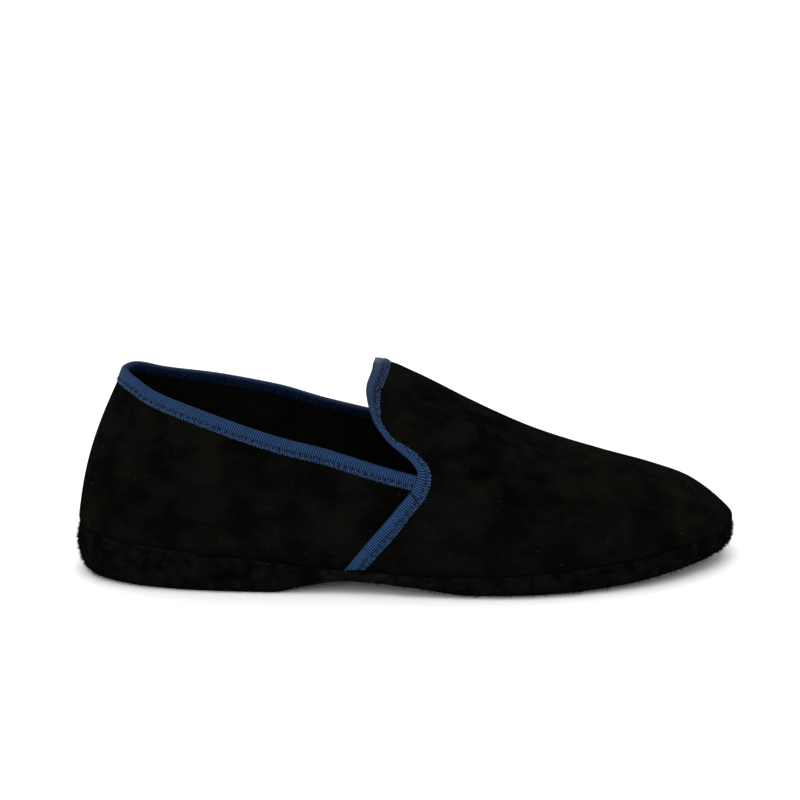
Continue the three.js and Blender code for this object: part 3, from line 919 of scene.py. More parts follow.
# Cross ribs, a looped edge and the dents that the stitches pull into the ribbon.
def ribTree():
    sizes = ("Pitch", "Rib height", "Loop", "Ribs per stitch", "Stitch place", "Dent depth", "Dent width",
             "Crease depth")
    tree, given = startTree("grosgrain ribs", sizes)
    along = readAttribute(tree, "along")
    across = readAttribute(tree, "across")
    shown = readAttribute(tree, "shown")
    crease = readAttribute(tree, "crease")
    edgeWay = readAttribute(tree, "edgeWay", "FLOAT_VECTOR")
    turns = addMath(tree, "DIVIDE", along, given["Pitch"])
    wave = addMath(tree, "SINE", addMath(tree, "MULTIPLY", turns, math.pi))
    rib = addMath(tree, "POWER", addMath(tree, "ABSOLUTE", wave), 0.65)
    ribUp = addMath(tree, "MULTIPLY", addMath(tree, "SUBTRACT", rib, 0.75), given["Rib height"])
    stitchGap = addMath(tree, "MULTIPLY", given["Pitch"], given["Ribs per stitch"])
    toDent = addMath(tree, "PINGPONG", along, addMath(tree, "MULTIPLY", stitchGap, 0.5))
    sideways = addMath(tree, "SUBTRACT", across, given["Stitch place"])
    lengthways = addMath(tree, "POWER", addMath(tree, "DIVIDE", toDent, given["Dent width"]), 2.0)
    crossways = addMath(tree, "POWER", addMath(tree, "DIVIDE", sideways, given["Dent width"]), 2.0)
    away = addMath(tree, "ADD", lengthways, crossways)
    nearness = addMath(tree, "EXPONENT", addMath(tree, "MULTIPLY", away, -1.0))
    dent = addMath(tree, "MULTIPLY", nearness, given["Dent depth"])
    pressed = addMath(tree, "ADD", dent, addMath(tree, "MULTIPLY", crease, given["Crease depth"]))
    up = addMath(tree, "MULTIPLY", addMath(tree, "SUBTRACT", ribUp, pressed), shown)
    normal = addNode(tree, "GeometryNodeInputNormal").outputs[0]
    lifted = addScaled(tree, normal, up)
    wild = addNode(tree, "ShaderNodeTexNoise", {
        "W": along, "Scale": 0.9, "Detail": 2.0}, noise_dimensions="1D")
    uneven = addMath(tree, "MULTIPLY_ADD", wild.outputs[0], 3.0, -0.7)
    loopOut = addMath(tree, "MULTIPLY", addMath(tree, "MULTIPLY", rib, uneven), given["Loop"])
    loops = addScaled(tree, edgeWay, loopOut)
    offset = addNode(tree, "ShaderNodeVectorMath", {0: lifted, 1: loops}, operation="ADD").outputs[0]
    moved = addNode(tree, "GeometryNodeSetPosition", {"Geometry": given["Geometry"], "Offset": offset})
    return endTree(tree, given, moved.outputs[0])


# Thread stitches along a line of points.
def stitchTree():
    tree, given = startTree("thread stitches", ("Spacing", "Stitch length", "Thread width", "Wander"))
    curve = addNode(tree, "GeometryNodeMeshToCurve", {"Mesh": given["Geometry"]}).outputs[0]
    spaced = addNode(tree, "GeometryNodeResampleCurve", {
        "Curve": curve, "Length": given["Spacing"]}, mode="LENGTH")
    tangent = addNode(tree, "GeometryNodeInputTangent").outputs[0]
    turned = addNode(tree, "FunctionNodeAlignRotationToVector", {"Vector": tangent}, axis="X").outputs[0]
    ball = addNode(tree, "GeometryNodeMeshUVSphere", {"Segments": 8, "Rings": 6, "Radius": 0.5}).outputs[0]
    size = addNode(tree, "ShaderNodeCombineXYZ", {
        "X": given["Stitch length"], "Y": given["Thread width"], "Z": given["Thread width"]}).outputs[0]
    far = addNode(tree, "ShaderNodeCombineXYZ", {axis: given["Wander"] for axis in "XYZ"}).outputs[0]
    near = addScaled(tree, far, -1.0)
    aside = addNode(tree, "FunctionNodeRandomValue", {
        "Min": near, "Max": far, "Seed": 5}, data_type="FLOAT_VECTOR")
    moved = addNode(tree, "GeometryNodeSetPosition", {
        "Geometry": spaced.outputs[0], "Offset": aside.outputs[0]})
    placed = addNode(tree, "GeometryNodeInstanceOnPoints", {
        "Points": moved.outputs[0], "Instance": ball, "Rotation": turned, "Scale": size}).outputs[0]
    return endTree(tree, given, placed)


# Short tapering hairs that stand or lie on a surface, thicker where its nap attribute is higher.
def hairTree():
    sizes = ("Density", "Length", "Thickness", "Lean", "Curl", "Lowest", "Seed")
    tree, given = startTree("nap hairs", sizes)
    density = addMath(tree, "MULTIPLY", readAttribute(tree, "nap"), given["Density"])
    spread = addNode(tree, "GeometryNodeDistributePointsOnFaces", {
        "Mesh": given["Geometry"], "Density": density, "Seed": given["Seed"]}, distribute_method="RANDOM")
    cone = addNode(tree, "GeometryNodeMeshCone", {
        "Vertices": 3, "Side Segments": 2, "Radius Top": 0.0, "Radius Bottom": given["Thickness"],
        "Depth": given["Length"]}).outputs[0]
    place = addNode(tree, "GeometryNodeInputPosition").outputs[0]
    height = addNode(tree, "ShaderNodeSeparateXYZ", {"Vector": place}).outputs[2]
    part = addMath(tree, "DIVIDE", height, given["Length"])
    curl = addMath(tree, "MULTIPLY", addMath(tree, "MULTIPLY", part, height), given["Curl"])
    bend = addNode(tree, "ShaderNodeCombineXYZ", {"X": curl}).outputs[0]
    bent = addNode(tree, "GeometryNodeSetPosition", {"Geometry": cone, "Offset": bend}).outputs[0]
    lean = given["Lean"]
    halfTurn = 3.1416
    back = addMath(tree, "MULTIPLY", lean, -1.0)
    lowest = addNode(tree, "ShaderNodeCombineXYZ", {"X": back, "Y": back, "Z": -halfTurn})
    highest = addNode(tree, "ShaderNodeCombineXYZ", {"X": lean, "Y": lean, "Z": halfTurn})
    turn = addNode(tree, "FunctionNodeRandomValue", {
        "Min": lowest.outputs[0], "Max": highest.outputs[0], "Seed": given["Seed"]}, data_type="FLOAT_VECTOR")
    turning = addNode(tree, "FunctionNodeEulerToRotation", {0: turn.outputs[0]}).outputs[0]
    rotation = addNode(tree, "FunctionNodeRotateRotation", {
        "Rotation": spread.outputs["Rotation"], "Rotate By": turning}, rotation_space="LOCAL").outputs[0]
    size = addNode(tree, "FunctionNodeRandomValue", {
        2: 0.45, 3: 1.15, "Seed": 7}, data_type="FLOAT").outputs[1]  # from 0.45 to 1.15 of the length
    placed = addNode(tree, "GeometryNodeInstanceOnPoints", {
        "Points": spread.outputs["Points"], "Instance": bent, "Rotation": rotation, "Scale": size}).outputs[0]
    grown = addNode(tree, "GeometryNodeRealizeInstances", {"Geometry": placed}).outputs[0]
    tip = addNode(tree, "ShaderNodeSeparateXYZ", {"Vector": place}).outputs[2]
    short = addMath(tree, "MAXIMUM", addMath(tree, "SUBTRACT", given["Lowest"], tip), 0.0)
    lift = addNode(tree, "ShaderNodeCombineXYZ", {"Z": short}).outputs[0]
    pressed = addNode(tree, "GeometryNodeSetPosition", {"Geometry": grown, "Offset": lift}).outputs[0]
    return endTree(tree, given, pressed)


# Materials

suede = {
    "deep": (0.0012, 0.0013, 0.0011),
    "lit": (0.0033, 0.0035, 0.0029),
    "brushSize": 7.0,
    "napSize": 0.75,
    "fineSize": 0.28,
    "sheen": 0.002,
    "sheenTint": (1.0, 0.95, 0.86),
    "speck": (0.030, 0.028, 0.023),
    "specksApart": 5.5,
    "speckSize": 0.045,
    "patchShare": 0.62,
    "toneStops": (0.41, 0.50, 0.60),
    "tintSize": 1.6,  # times the patches
    "grain": 0.8,
    "relief": 0.85,
}

# where the suede is painted darker (below 1) or lighter: partly brushed nap, partly painted light, as the
# brighter spots low on the forepart's sides and at the toe's front; along mm, height mm, reach mm, how bright
napAndLightRows = [
    (176, 58, 17, 0.55),
    (196, 42, 12, 0.70),
    (150, 72, 10, 0.75),
    (268, 33, 17, 1.35),
    (232, 24, 12, 1.30),
    (200, 20, 12, 1.20),
    (168, 22, 11, 1.30),
    (96, 44, 12, 1.20),
    (60, 66, 12, 1.25),
    (40, 56, 10, 0.75),
    (112, 32, 10, 1.35),
    (136, 34, 10, 0.60),
    (128, 52, 9, 0.75),
    (84, 62, 9, 0.75),
]
# painted light: the sole's waist near the heel's breast is painted lighter, as light bounced up from the
# floor; along mm, height mm, reach mm, how bright
archBounceLightRows = [
    (114, 9.5, 9, 2.6),
    (131, 8.5, 8, 2.0),
]


def startMaterial(name, roughness, specular):
    material = bpy.data.materials.new(name)
    material.use_nodes = True
    tree = material.node_tree
    shader = tree.nodes["Principled BSDF"]
    shader.inputs["Roughness"].default_value = roughness
    shader.inputs["Specular IOR Level"].default_value = specular
    return material, tree, shader


def millimetres(tree, scale=(1.0, 1.0, 1.0), turn=(0.0, 0.0, 0.0)):
    place = addNode(tree, "ShaderNodeTexCoord").outputs["Object"]
    return addNode(tree, "ShaderNodeMapping", {
        "Vector": place, "Scale": [k / metre for k in scale], "Rotation": turn}).outputs[0]


def addNoise(tree, vector, size, detail=3.0, rough=0.55):
    return addNode(tree, "ShaderNodeTexNoise", {
        "Vector": vector, "Scale": 1 / size, "Detail": detail, "Roughness": rough}).outputs["Fac"]


def addRamp(tree, factor, stops):
    ramp = addNode(tree, "ShaderNodeValToRGB", {"Fac": factor})
    while len(ramp.color_ramp.elements) < len(stops):
        ramp.color_ramp.elements.new(0.5)
    for element, (position, color) in zip(ramp.color_ramp.elements, stops):
        element.position = position
        element.color = (*color, 1.0)
    return ramp.outputs["Color"]


def addMix(tree, factor, first, second, blend="MIX"):
    mix = addNode(tree, "ShaderNodeMix", {"Factor": factor}, data_type="RGBA", blend_type=blend)
    for socket, value in ((mix.inputs[6], first), (mix.inputs[7], second)):
        if isinstance(value, bpy.types.NodeSocket):
            tree.links.new(value, socket)
        else:
            socket.default_value = (*value, 1.0)
    return mix.outputs[2]


# Suede: brushed patches of nap that lie different ways, fine nap, a few specks of lint, and listed spots
# painted lighter or darker, partly for brushed nap and partly painted light.
def makeSuede(name, deep, lit, rough, specks, patches, patchSize):
    material, tree, shader = startMaterial(name, 1.0, 0.0)
    place = millimetres(tree)
    patch = addNoise(tree, place, patchSize, 4.0, 0.6)
    brushPlace = millimetres(tree, (0.45, 1.0, 1.0), (0.0, 0.5, 0.0))
    brushed = addNoise(tree, brushPlace, suede["brushSize"], 4.0, 0.65)
    nap = addNoise(tree, place, suede["napSize"], 5.0, 0.75)
    fine = addNoise(tree, place, suede["fineSize"], 3.0, 0.7)
    patchPart = addMath(tree, "MULTIPLY", patch, suede["patchShare"])
    lay = addMath(tree, "ADD", patchPart, addMath(tree, "MULTIPLY", brushed, 1 - suede["patchShare"]))
    middle = [(a + b) / 2 for a, b in zip(deep, lit)]
    tone = addRamp(tree, lay, list(zip(suede["toneStops"], (deep, middle, lit))))
    # each listed spot scales the tone; some stand for brushed nap, some are painted light
    for along, height, reach, bright in patches:
        aside = addNode(tree, "ShaderNodeVectorMath", {
            0: place, 1: (along + intoFrame[0], 0.0, height)}, operation="SUBTRACT").outputs[0]
        flat = addNode(tree, "ShaderNodeVectorMath", {
            0: aside, 1: (1.0, 0.0, 1.0)}, operation="MULTIPLY").outputs[0]
        gap = addNode(tree, "ShaderNodeVectorMath", {0: flat}, operation="LENGTH").outputs["Value"]
        wander = addMath(tree, "MULTIPLY", addMath(tree, "SUBTRACT", brushed, 0.5), 3 * reach)
        share = addNode(tree, "ShaderNodeMapRange", {
            "Value": addMath(tree, "ADD", gap, wander), "From Min": reach, "From Max": 0.2 * reach,
        }, interpolation_type="SMOOTHSTEP").outputs[0]
        tone = addMix(tree, share, tone, addMix(tree, 1.0, tone, (bright, bright, bright), "MULTIPLY"))
    hues = addNoise(tree, place, suede["tintSize"] * patchSize)
    tint = addRamp(tree, hues, [(0.40, (1.02, 1.04, 0.93)), (0.60, (0.99, 0.98, 1.02))])
    tone = addMix(tree, 1.0, tone, tint, "MULTIPLY")
    grain = addRamp(tree, nap, [(0.30, (0.55, 0.55, 0.55)), (0.72, (1.45, 1.45, 1.45))])
    toned = addMix(tree, suede["grain"], tone, grain, "MULTIPLY")
    cells = addNode(tree, "ShaderNodeTexVoronoi", {"Vector": place, "Scale": 1 / suede["specksApart"]})
    dot = addMath(tree, "LESS_THAN", cells.outputs["Distance"], suede["speckSize"])
    choice = addNode(tree, "ShaderNodeSeparateColor", {"Color": cells.outputs["Color"]}).outputs[0]
    seen = addMath(tree, "MULTIPLY", dot, addMath(tree, "GREATER_THAN", choice, 1 - specks))
    colored = addMix(tree, seen, toned, suede["speck"])
    tree.links.new(colored, shader.inputs["Base Color"])
    relief = addMath(tree, "ADD", addMath(tree, "MULTIPLY", nap, 0.6), addMath(tree, "MULTIPLY", fine, 0.4))
    bump = addNode(tree, "ShaderNodeBump", {
        "Height": relief, "Strength": suede["relief"], "Distance": rough * metre})
    tree.links.new(bump.outputs[0], shader.inputs["Normal"])
    shader.inputs["Sheen Weight"].default_value = suede["sheen"]
    shader.inputs["Sheen Roughness"].default_value = 0.55
    shader.inputs["Sheen Tint"].default_value = (*suede["sheenTint"], 1.0)
    return material


grosgrain = {
    "ribBlue": (0.0172, 0.0550, 0.144),
    # painted light: below the junction the leg's ribs are painted lighter with sharper dark grooves, standing
    # in for light raking across them
    "legLitBlue": (0.0260, 0.0860, 0.225),  # below the junction the ribs are lighter and sharper
    "legFrom": 46.0,
    "legTo": 36.0,
    "legShadedSharper": 2.2,
    "grooveShadeBlue": (0.0008, 0.0034, 0.013),
    "dentShadeBlue": (0.0006, 0.0016, 0.0050),
    "edgeBlue": (0.020, 0.052, 0.115),
    "foldShade": (0.50, 0.52, 0.58),
    "insideShade": (0.04, 0.21, 0.31),
    "greySheenBlue": (0.0250, 0.0450, 0.1000),
    "topHighlightGrey": (0.090, 0.100, 0.110),
    "topFrom": 91.8,
    "topTo": 93.2,
    "greyFrom": 70.0,
    "greyTo": 84.0,
    "warpWidth": 0.24,
    "ribSharpness": 1.8,
    "greyStrength": 0.75,
    "ragged": {"size": 0.55, "width": 1.5, "strength": 0.6},  # light knots along both edges
    "pitted": {"size": 0.8, "width": 1.1, "strength": 0.75},  # dark holes along both edges
    "bandWidth": 1.7,
    "pleatShade": 0.8,
    "sheen": 0.01,
    "roughness": 0.70,
}


# Grosgrain: rounded cross ribs bound by fine lengthwise threads, with painted shade in the grooves, stitch
# dents and pleats and on the fold and inner leg, painted light on the front panel's lower leg, painted sheen
# high on the tongue and a painted highlight on its top.
def makeGrosgrain(ribbonWidth):
    material, tree, shader = startMaterial("grosgrain", grosgrain["roughness"], 0.08)

    def read(name):
        return addNode(tree, "ShaderNodeAttribute", attribute_name=name).outputs["Fac"]

    along, across = read("along"), read("across")
    wave = addMath(tree, "SINE", addMath(tree, "MULTIPLY", along, math.pi / ribbon["ribPitch"]))
    place = millimetres(tree)
    height = addNode(tree, "ShaderNodeSeparateXYZ", {"Vector": place}).outputs[2]
    # painted light on the front panel's leg below the junction: lighter ribs and sharper painted groove shade
    low = addNode(tree, "ShaderNodeMapRange", {
        "Value": height, "From Min": grosgrain["legFrom"], "From Max": grosgrain["legTo"]}).outputs[0]
    onLeg = addMath(tree, "MULTIPLY", low, read("tongue"))
    sharpness = addMath(tree, "MULTIPLY_ADD", onLeg, grosgrain["legShadedSharper"], grosgrain["ribSharpness"])
    rib = addMath(tree, "POWER", addMath(tree, "ABSOLUTE", wave), sharpness)
    stitchGap = ribbon["ribPitch"] * stitching["ribsPerStitch"]
    toDent = addMath(tree, "PINGPONG", along, stitchGap / 2)
    outer = addMath(tree, "ABSOLUTE", addMath(tree, "SUBTRACT", across, ribbon["stitchFromEdge"]))
    innerPlace = ribbonWidth - ribbon["stitchFromEdge"]
    inner = addMath(tree, "ABSOLUTE", addMath(tree, "SUBTRACT", across, innerPlace))
    sideways = addMath(tree, "MINIMUM", outer, inner)
    away = addMath(tree, "ADD", addMath(tree, "POWER", toDent, 2.0), addMath(tree, "POWER", sideways, 2.0))
    dent = addMath(tree, "EXPONENT", addMath(tree, "MULTIPLY", away, -1 / stitching["dentWidth"] ** 2))
    # painted sheen: high on the tongue, from greyFrom to greyTo mm up, the ribbon is painted greyer and
    # dimmer
    greySheenShare = addNode(tree, "ShaderNodeMapRange", {
        "Value": height, "From Min": grosgrain["greyFrom"], "From Max": grosgrain["greyTo"]}).outputs[0]
    onTongue = addMath(tree, "MULTIPLY", greySheenShare, read("tongue"))
    lowerBlue = addMix(tree, onLeg, grosgrain["ribBlue"], grosgrain["legLitBlue"])
    ribColor = addMix(tree, onTongue, lowerBlue, grosgrain["greySheenBlue"])
    # painted shade: the grooves between the ribs are coloured dark
    ribs = addMix(tree, rib, grosgrain["grooveShadeBlue"], ribColor)
    greyed = addMath(tree, "MULTIPLY", onTongue, grosgrain["greyStrength"])
    ribs = addMix(tree, greyed, ribs, [0.62 * c for c in grosgrain["greySheenBlue"]])
    worn = addRamp(tree, addNoise(tree, place, 6.0), [(0.3, (0.82, 0.84, 0.88)), (0.7, (1.12, 1.1, 1.06))])
    toned = addMix(tree, 0.9, ribs, worn, "MULTIPLY")
    fibres = addNoise(tree, place, 0.25, 4.0)
    fuzz = addRamp(tree, fibres, [(0.35, (0.75, 0.75, 0.78)), (0.65, (1.2, 1.2, 1.18))])
    fuzzy = addMix(tree, 0.8, toned, fuzz, "MULTIPLY")
    part = addMath(tree, "DIVIDE", across, ribbonWidth)
    shades = [(0.40, (1, 1, 1)), (0.52, grosgrain["foldShade"]), (0.64, grosgrain["insideShade"])]
    shade = addRamp(tree, part, shades)
    shaded = addMix(tree, 1.0, fuzzy, shade, "MULTIPLY")
    ragged, pitted = grosgrain["ragged"], grosgrain["pitted"]
    knots = addMath(tree, "GREATER_THAN", addNoise(tree, place, ragged["size"], 2.0), 0.50)
    ribLight = addMath(tree, "MULTIPLY", rib, ragged["strength"])
    atEdge = addMath(tree, "MULTIPLY", addMath(tree, "LESS_THAN", sideways, ragged["width"]), ribLight)
    edged = addMix(tree, addMath(tree, "MULTIPLY", atEdge, knots), shaded, grosgrain["edgeBlue"])
    holes = addMath(tree, "LESS_THAN", addNoise(tree, place, pitted["size"], 2.0), 0.50)
    inHole = addMath(tree, "MULTIPLY", addMath(tree, "LESS_THAN", sideways, pitted["width"]), holes)
    broken = addMix(tree, addMath(tree, "MULTIPLY", inHole, pitted["strength"]), edged, grosgrain["dentShadeBlue"])
    # painted shade in the stitch dents, less of it high on the tongue
    dentShadeKept = addMath(tree, "SUBTRACT", 1.0, addMath(tree, "MULTIPLY", onTongue, 0.7))
    fewer = addMath(tree, "MULTIPLY", dent, dentShadeKept)
    stitched = addMix(tree, fewer, broken, grosgrain["dentShadeBlue"])
    band = addMath(tree, "MULTIPLY", onTongue, addMath(tree, "LESS_THAN", sideways, grosgrain["bandWidth"]))
    flecks = addNoise(tree, place, 0.5, 3.0)
    speckled = addRamp(tree, flecks, [(0.42, (0.25, 0.25, 0.28)), (0.62, (0.9, 0.9, 0.9))])
    banded = addMix(tree, band, stitched, addMix(tree, 1.0, stitched, speckled, "MULTIPLY"))
    inPleat = addMath(tree, "MULTIPLY", read("crease"), grosgrain["pleatShade"])
    pleated = addMix(tree, inPleat, banded, grosgrain["dentShadeBlue"])
    # painted highlight: the tongue's top fold is painted light grey
    top = addNode(tree, "ShaderNodeMapRange", {
        "Value": height, "From Min": grosgrain["topFrom"], "From Max": grosgrain["topTo"],
        "To Max": 0.7}).outputs[0]
    highlightedTop = addMix(tree, addMath(tree, "MULTIPLY", top, read("tongue")), pleated, grosgrain["topHighlightGrey"])
    tree.links.new(highlightedTop, shader.inputs["Base Color"])
    wander = addMath(tree, "MULTIPLY", addNoise(tree, place, 1.2), 0.5)
    warpTurn = 2 * math.pi / grosgrain["warpWidth"]
    wandering = addMath(tree, "ADD", across, wander)
    warpWave = addMath(tree, "SINE", addMath(tree, "MULTIPLY", wandering, warpTurn))
    warp = addMath(tree, "MULTIPLY", warpWave, 0.5)
    relief = addMath(tree, "ADD", addMath(tree, "MULTIPLY", rib, 3.0), warp)
    bump = addNode(tree, "ShaderNodeBump", {"Height": relief, "Strength": 0.7, "Distance": 0.03 * metre})
    tree.links.new(bump.outputs[0], shader.inputs["Normal"])
    shader.inputs["Sheen Weight"].default_value = grosgrain["sheen"]
    shader.inputs["Sheen Roughness"].default_value = 0.4
    shader.inputs["Sheen Tint"].default_value = (0.75, 0.85, 1.0, 1.0)
    return material


def makePlain(name, deep, lit, size, bumpSize, roughness):
    material, tree, shader = startMaterial(name, roughness, 0.03)
    place = millimetres(tree)
    tone = addRamp(tree, addNoise(tree, place, size, 5.0, 0.7), [(0.3, deep), (0.7, lit)])
    tree.links.new(tone, shader.inputs["Base Color"])
    weave = addNoise(tree, place, bumpSize, 4.0, 0.7)
    bump = addNode(tree, "ShaderNodeBump", {"Height": weave, "Strength": 0.6, "Distance": 0.12 * metre})
    tree.links.new(bump.outputs[0], shader.inputs["Normal"])
    return material


stitching = {
    "ribsPerStitch": 3,
    "dentWidth": 0.46,
    "dentDepth": 0.46,
    "creaseDepth": 0.35,
    "ribHeight": 0.38,
    "loop": 0.45,
}

threads = {
    "stitch": {"fromEdge": 1.4, "spacing": 2.88, "length": 1.9, "width": 0.30, "wander": 0.0},
    "loop": {"fromEdge": 0.0, "spacing": 1.15, "length": 0.62, "width": 0.50, "wander": 0.22},
    "knot": {"fromEdge": 0.8, "spacing": 1.25, "length": 0.62, "width": 0.38, "wander": 0.22},
}

# Build the pieces

upperSuede = makeSuede("upper suede", suede["deep"], suede["lit"], 0.22, 0.06, napAndLightRows, 19.0)
soleSuede = makeSuede(
    "sole suede", (0.0009, 0.0012, 0.0011), (0.0038, 0.0042, 0.0039), 0.6, 0.16, archBounceLightRows, 6.0)
liningCloth = makePlain("lining cloth", (0.0010, 0.0010, 0.0009), (0.0042, 0.0042, 0.0039), 16.0, 0.5, 0.95)
lintFibre = makePlain("lint", (0.040, 0.038, 0.030), (0.100, 0.095, 0.080), 3.0, 0.5, 0.9)
hairFibre = makePlain("sole hair", (0.0008, 0.0009, 0.0008), (0.0026, 0.0026, 0.0024), 2.0, 0.5, 1.0)
loopBlue = makePlain("selvedge loops", (0.018, 0.046, 0.110), (0.060, 0.105, 0.210), 0.9, 0.2, 0.6)
threadBlue = makePlain("thread", (0.012, 0.034, 0.090), (0.020, 0.054, 0.135), 0.5, 0.2, 0.6)

quarterPiece = makeQuarters()
panelPiece = makeFrontPanel()
liningPieces = [makeQuarterLining(), makePanelLining()]
print("upper made")
insolePiece = makeInsole()
forepart = solePiece("forepart_sole", True, sole["breastGap"])
heelBlock = solePiece("heel_block", False, 0.0)
print("insole, sole and heel made")

for piece, material in (
    (quarterPiece, upperSuede),
    (panelPiece, upperSuede),
    (liningPieces[0], liningCloth),
    (liningPieces[1], liningCloth),
    (insolePiece, liningCloth),
    (forepart, soleSuede),
    (heelBlock, soleSuede),
):
    piece.data.materials.append(material)
    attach(piece, "root")

toplineEnds = {"past": 2.6}
junction = {"blend": 5.0, "outerCrease": (43.5, 0.35, 1), "innerCrease": (46.0, 0.35, -1)}


def neverLaid(points):
    return np.zeros(len(points))


# Below the top line the front panel lies on the quarter, so its ribbon's fold lies flat on it.
def laidBelowTopline(points):
    inner = points[:, 1] > 0
    top = toplineZ(points[:, 0], inner)
    return smooth((top + 1.0 - points[:, 2]) / junction["blend"])


def endShare(side):
    def behind(u):
        p = lastPoint(side * u, topAt(side * u))
        return p[..., 0] < throatX(p[..., 2], side < 0) + toplineEnds["past"]

    return float(findShare(0.1, 0.45, behind, 1)[0])


toplineRibbon, toplineLine, toplineWidth = makeRibbon(
    "topline_ribbon", -endShare(-1), endShare(1), toplineEdge(0.0), toplineEdge(-wall), (0, -1), 0.0,
    neverLaid, toplineLegWidth, ())
vampRibbon, vampLine, vampWidth = makeRibbon(
    "vamp_ribbon", -ribbon["belowFeather"], 2 + ribbon["belowFeather"], throatEdge(0.0, shoe["vampLap"]),
    throatEdge(-wall, 0.0), (1, 0), shoe["vampLap"], laidBelowTopline, panelLegWidth,
    (junction["outerCrease"], junction["innerCrease"]))
grosgrainBlue = makeGrosgrain(toplineWidth)
ribs = ribTree()
stitchesTree = stitchTree()
for piece in (toplineRibbon, vampRibbon):
    runTree(piece, ribs, {
        "Pitch": ribbon["ribPitch"],
        "Rib height": stitching["ribHeight"] * metre,
        "Loop": stitching["loop"] * metre,
        "Ribs per stitch": float(stitching["ribsPerStitch"]),
        "Stitch place": ribbon["stitchFromEdge"],
        "Dent depth": stitching["dentDepth"] * metre,
        "Dent width": stitching["dentWidth"],
        "Crease depth": stitching["creaseDepth"] * metre,
    }, grosgrainBlue)
    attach(piece, "root")
    print(piece.name, "has", len(piece.data.polygons), "faces")

for name, lineAt, kind, material in (
    ("topline_stitches", toplineLine, "stitch", threadBlue),
    ("vamp_stitches", vampLine, "stitch", threadBlue),
    ("topline_loops", toplineLine, "loop", loopBlue),
    ("vamp_loops", vampLine, "loop", loopBlue),
    ("topline_knots", toplineLine, "knot", loopBlue),
    ("vamp_knots", vampLine, "knot", loopBlue),
):
    line = lineAt(threads[kind]["fromEdge"])
    thread = bpy.data.meshes.new(name)
    edges = [(i, i + 1) for i in range(len(line) - 1)]
    thread.from_pydata(((line + intoFrame) * metre).tolist(), edges, [])
    piece = bpy.data.objects.new(name, thread)
    bpy.context.scene.collection.objects.link(piece)
    runTree(piece, stitchesTree, {
        "Spacing": threads[kind]["spacing"] * metre,
        "Stitch length": threads[kind]["length"] * metre,
        "Thread width": threads[kind]["width"] * metre,
        "Wander": threads[kind]["wander"] * metre,
    }, material)
    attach(piece, "root")

for piece in (quarterPiece, panelPiece, *liningPieces):
    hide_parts("upper")
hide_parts("insole")
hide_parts("outsole")
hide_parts("heel")
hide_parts("topline_binding")
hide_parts("vamp_binding")

# Nap hairs along the sole's edge, and lint on the upper

hairs = {
    "soleDensity": 900000.0,
    "soleLength": 1.60,
    "soleThickness": 0.20,
    "soleLean": 0.60,
    "soleCurl": 0.4,
    "lintDensity": 12000.0,
    "lintLength": 1.8,
    "lintThickness": 0.042,
    "lintLean": 1.5,
    "lintCurl": 0.9,
    "lowest": 0.1,  # hairs press flat on the floor
}


def napObject(source, name, napAt):
    piece = source.copy()
    piece.data = source.data.copy()
    piece.name = name
    bpy.context.scene.collection.objects.link(piece)
    points = np.empty(3 * len(piece.data.vertices))
    piece.data.vertices.foreach_get("co", points)
    points = points.reshape(-1, 3) / metre - intoFrame
    nap = piece.data.attributes.new("nap", "FLOAT", "POINT")
    nap.data.foreach_set("value", napAt(points).astype(np.float32))
    return piece


# Hairs are thickest round the toe, at the heel's back and along the lower edge, and none are underneath.
def soleNap(points):
    x, z = points[:, 0], points[:, 2]
    up = z - underside(x)
    share = up / np.maximum(featherHeight(x) - underside(x), 1)
    side = smooth((up - 0.6) / 1.2) * smooth((1.02 - share) / 0.1)
    ends = smooth((x - 238) / 40) + 0.55 * smooth((24 - x) / 24)
    lowEdge = np.exp(-(((up - 2.0) / 1.8) ** 2))
    return side * (0.06 + 1.5 * ends + 0.45 * lowEdge)


def soleLint(points):
    return 3 * soleNap(points) + 1


# Lint gathers a little low on the sides; none lies where the upper turns in under the foot.
def upperLint(points):
    x, z = points[:, 0], points[:, 2]
    above = z - featherHeight(x)
    return smooth((above - 2.5) / 2) * (0.5 + np.exp(-((above / 16) ** 2)))


hairsTree = hairTree()
for source, name, napAt, kind, material, slot in (
    (forepart, "forepart_nap", soleNap, "sole", hairFibre, "sole_suede"),
    (heelBlock, "heel_nap", soleNap, "sole", hairFibre, "sole_suede"),
    (forepart, "forepart_lint", soleLint, "lint", lintFibre, "sole_suede"),
    (heelBlock, "heel_lint", soleLint, "lint", lintFibre, "sole_suede"),
    (quarterPiece, "quarters_lint", upperLint, "lint", lintFibre, "upper_suede"),
    (panelPiece, "panel_lint", upperLint, "lint", lintFibre, "upper_suede"),
):
    piece = napObject(source, name, napAt)
    runTree(piece, hairsTree, {
        "Density": hairs[kind + "Density"],
        "Length": hairs[kind + "Length"] * metre,
        "Thickness": hairs[kind + "Thickness"] * metre,
        "Lean": hairs[kind + "Lean"],
        "Curl": hairs[kind + "Curl"],
        "Lowest": hairs["lowest"] * metre,
        "Seed": 11.0,
    }, material)
    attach(piece, "root")
    print(name, "has", len(piece.data.polygons), "faces")

# Stage, light and camera

stage = {
    "half": 4.0,
    "wallAt": 1.3,
    "bend": 0.8,
    "white": 0.86,
}


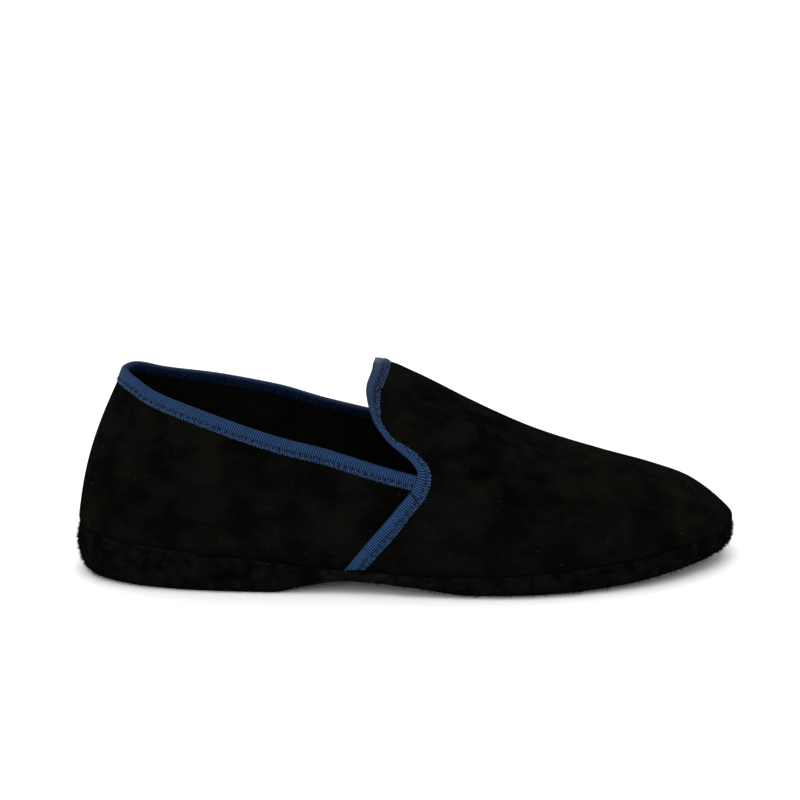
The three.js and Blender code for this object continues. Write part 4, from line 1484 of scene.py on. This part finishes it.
def makeStage():
    rows = []
    for y in np.linspace(-stage["half"], stage["wallAt"], 12):
        rows.append((y, 0.0))
    for step in range(1, 13):
        angle = math.pi / 2 * step / 12
        forward, up = math.sin(angle), 1 - math.cos(angle)
        rows.append((stage["wallAt"] + stage["bend"] * forward, stage["bend"] * up))
    rows.append((stage["wallAt"] + stage["bend"], 3.0))
    points = [(x, y, z) for y, z in rows for x in (-stage["half"], stage["half"])]
    faces = [(2 * i, 2 * i + 1, 2 * i + 3, 2 * i + 2) for i in range(len(rows) - 1)]
    mesh = bpy.data.meshes.new("floor")
    mesh.from_pydata(points, [], faces)
    mesh.shade_smooth()
    floor = bpy.data.objects.new("floor", mesh)
    bpy.context.scene.collection.objects.link(floor)
    material, tree, shader = startMaterial("pale floor", 0.8, 0.1)
    shader.inputs["Base Color"].default_value = (stage["white"], stage["white"], stage["white"], 1.0)
    mesh.materials.append(material)


makeStage()

lights = {
    "overhead": {"place": (-0.15, -0.25, 1.30), "aim": (0.0, 0.0, 0.03), "size": (1.6, 1.3), "power": 11.0},
    "front": {"place": (-0.7, -1.3, 0.75), "aim": (0.0, 0.0, 0.04), "size": (1.0, 0.8), "power": 3.8},
    "back": {"place": (0.5, 0.9, 0.9), "aim": (0.05, 0.0, 0.05), "size": (0.9, 0.6), "power": 2.5},
    "wall": {"place": (0.0, 0.9, 2.2), "aim": (0.0, 2.1, 0.9), "size": (2.4, 0.8), "power": 12.0},
}


def makeLight(name, place, aim, size, power):
    light = bpy.data.lights.new(name, "AREA")
    light.shape = "RECTANGLE"
    light.size, light.size_y = size
    light.energy = power
    lamp = bpy.data.objects.new(name, light)
    lamp.location = place
    way = np.array(aim) - np.array(place)
    lamp.rotation_mode = "XYZ"
    flat = math.hypot(way[0], way[1])
    lamp.rotation_euler = (math.atan2(flat, -way[2]), 0.0, math.atan2(way[1], way[0]) - math.pi / 2)
    bpy.context.scene.collection.objects.link(lamp)


for name, light in lights.items():
    makeLight(name, **light)

world = bpy.data.worlds.new("soft studio")
world.use_nodes = True
world.node_tree.nodes["Background"].inputs["Color"].default_value = (1.0, 1.0, 1.0, 1.0)
world.node_tree.nodes["Background"].inputs["Strength"].default_value = 1.0
bpy.context.scene.world = world
bpy.context.scene.view_settings.view_transform = "Standard"

camera = {"place": (114.4, -757.5, 277.6), "down": 15.0, "turn": 2.0, "lens": 81.4}
lens = bpy.data.cameras.new("camera")
lens.lens = camera["lens"]
lens.sensor_width = 36.0
lens.clip_start = 0.01
eye = bpy.data.objects.new("camera", lens)
eye.location = (np.array(camera["place"]) + intoFrame) * metre
eye.rotation_euler = (math.radians(90 - camera["down"]), 0.0, math.radians(-camera["turn"]))
bpy.context.scene.collection.objects.link(eye)
bpy.context.scene.camera = eye
print("stage, lights and camera made")
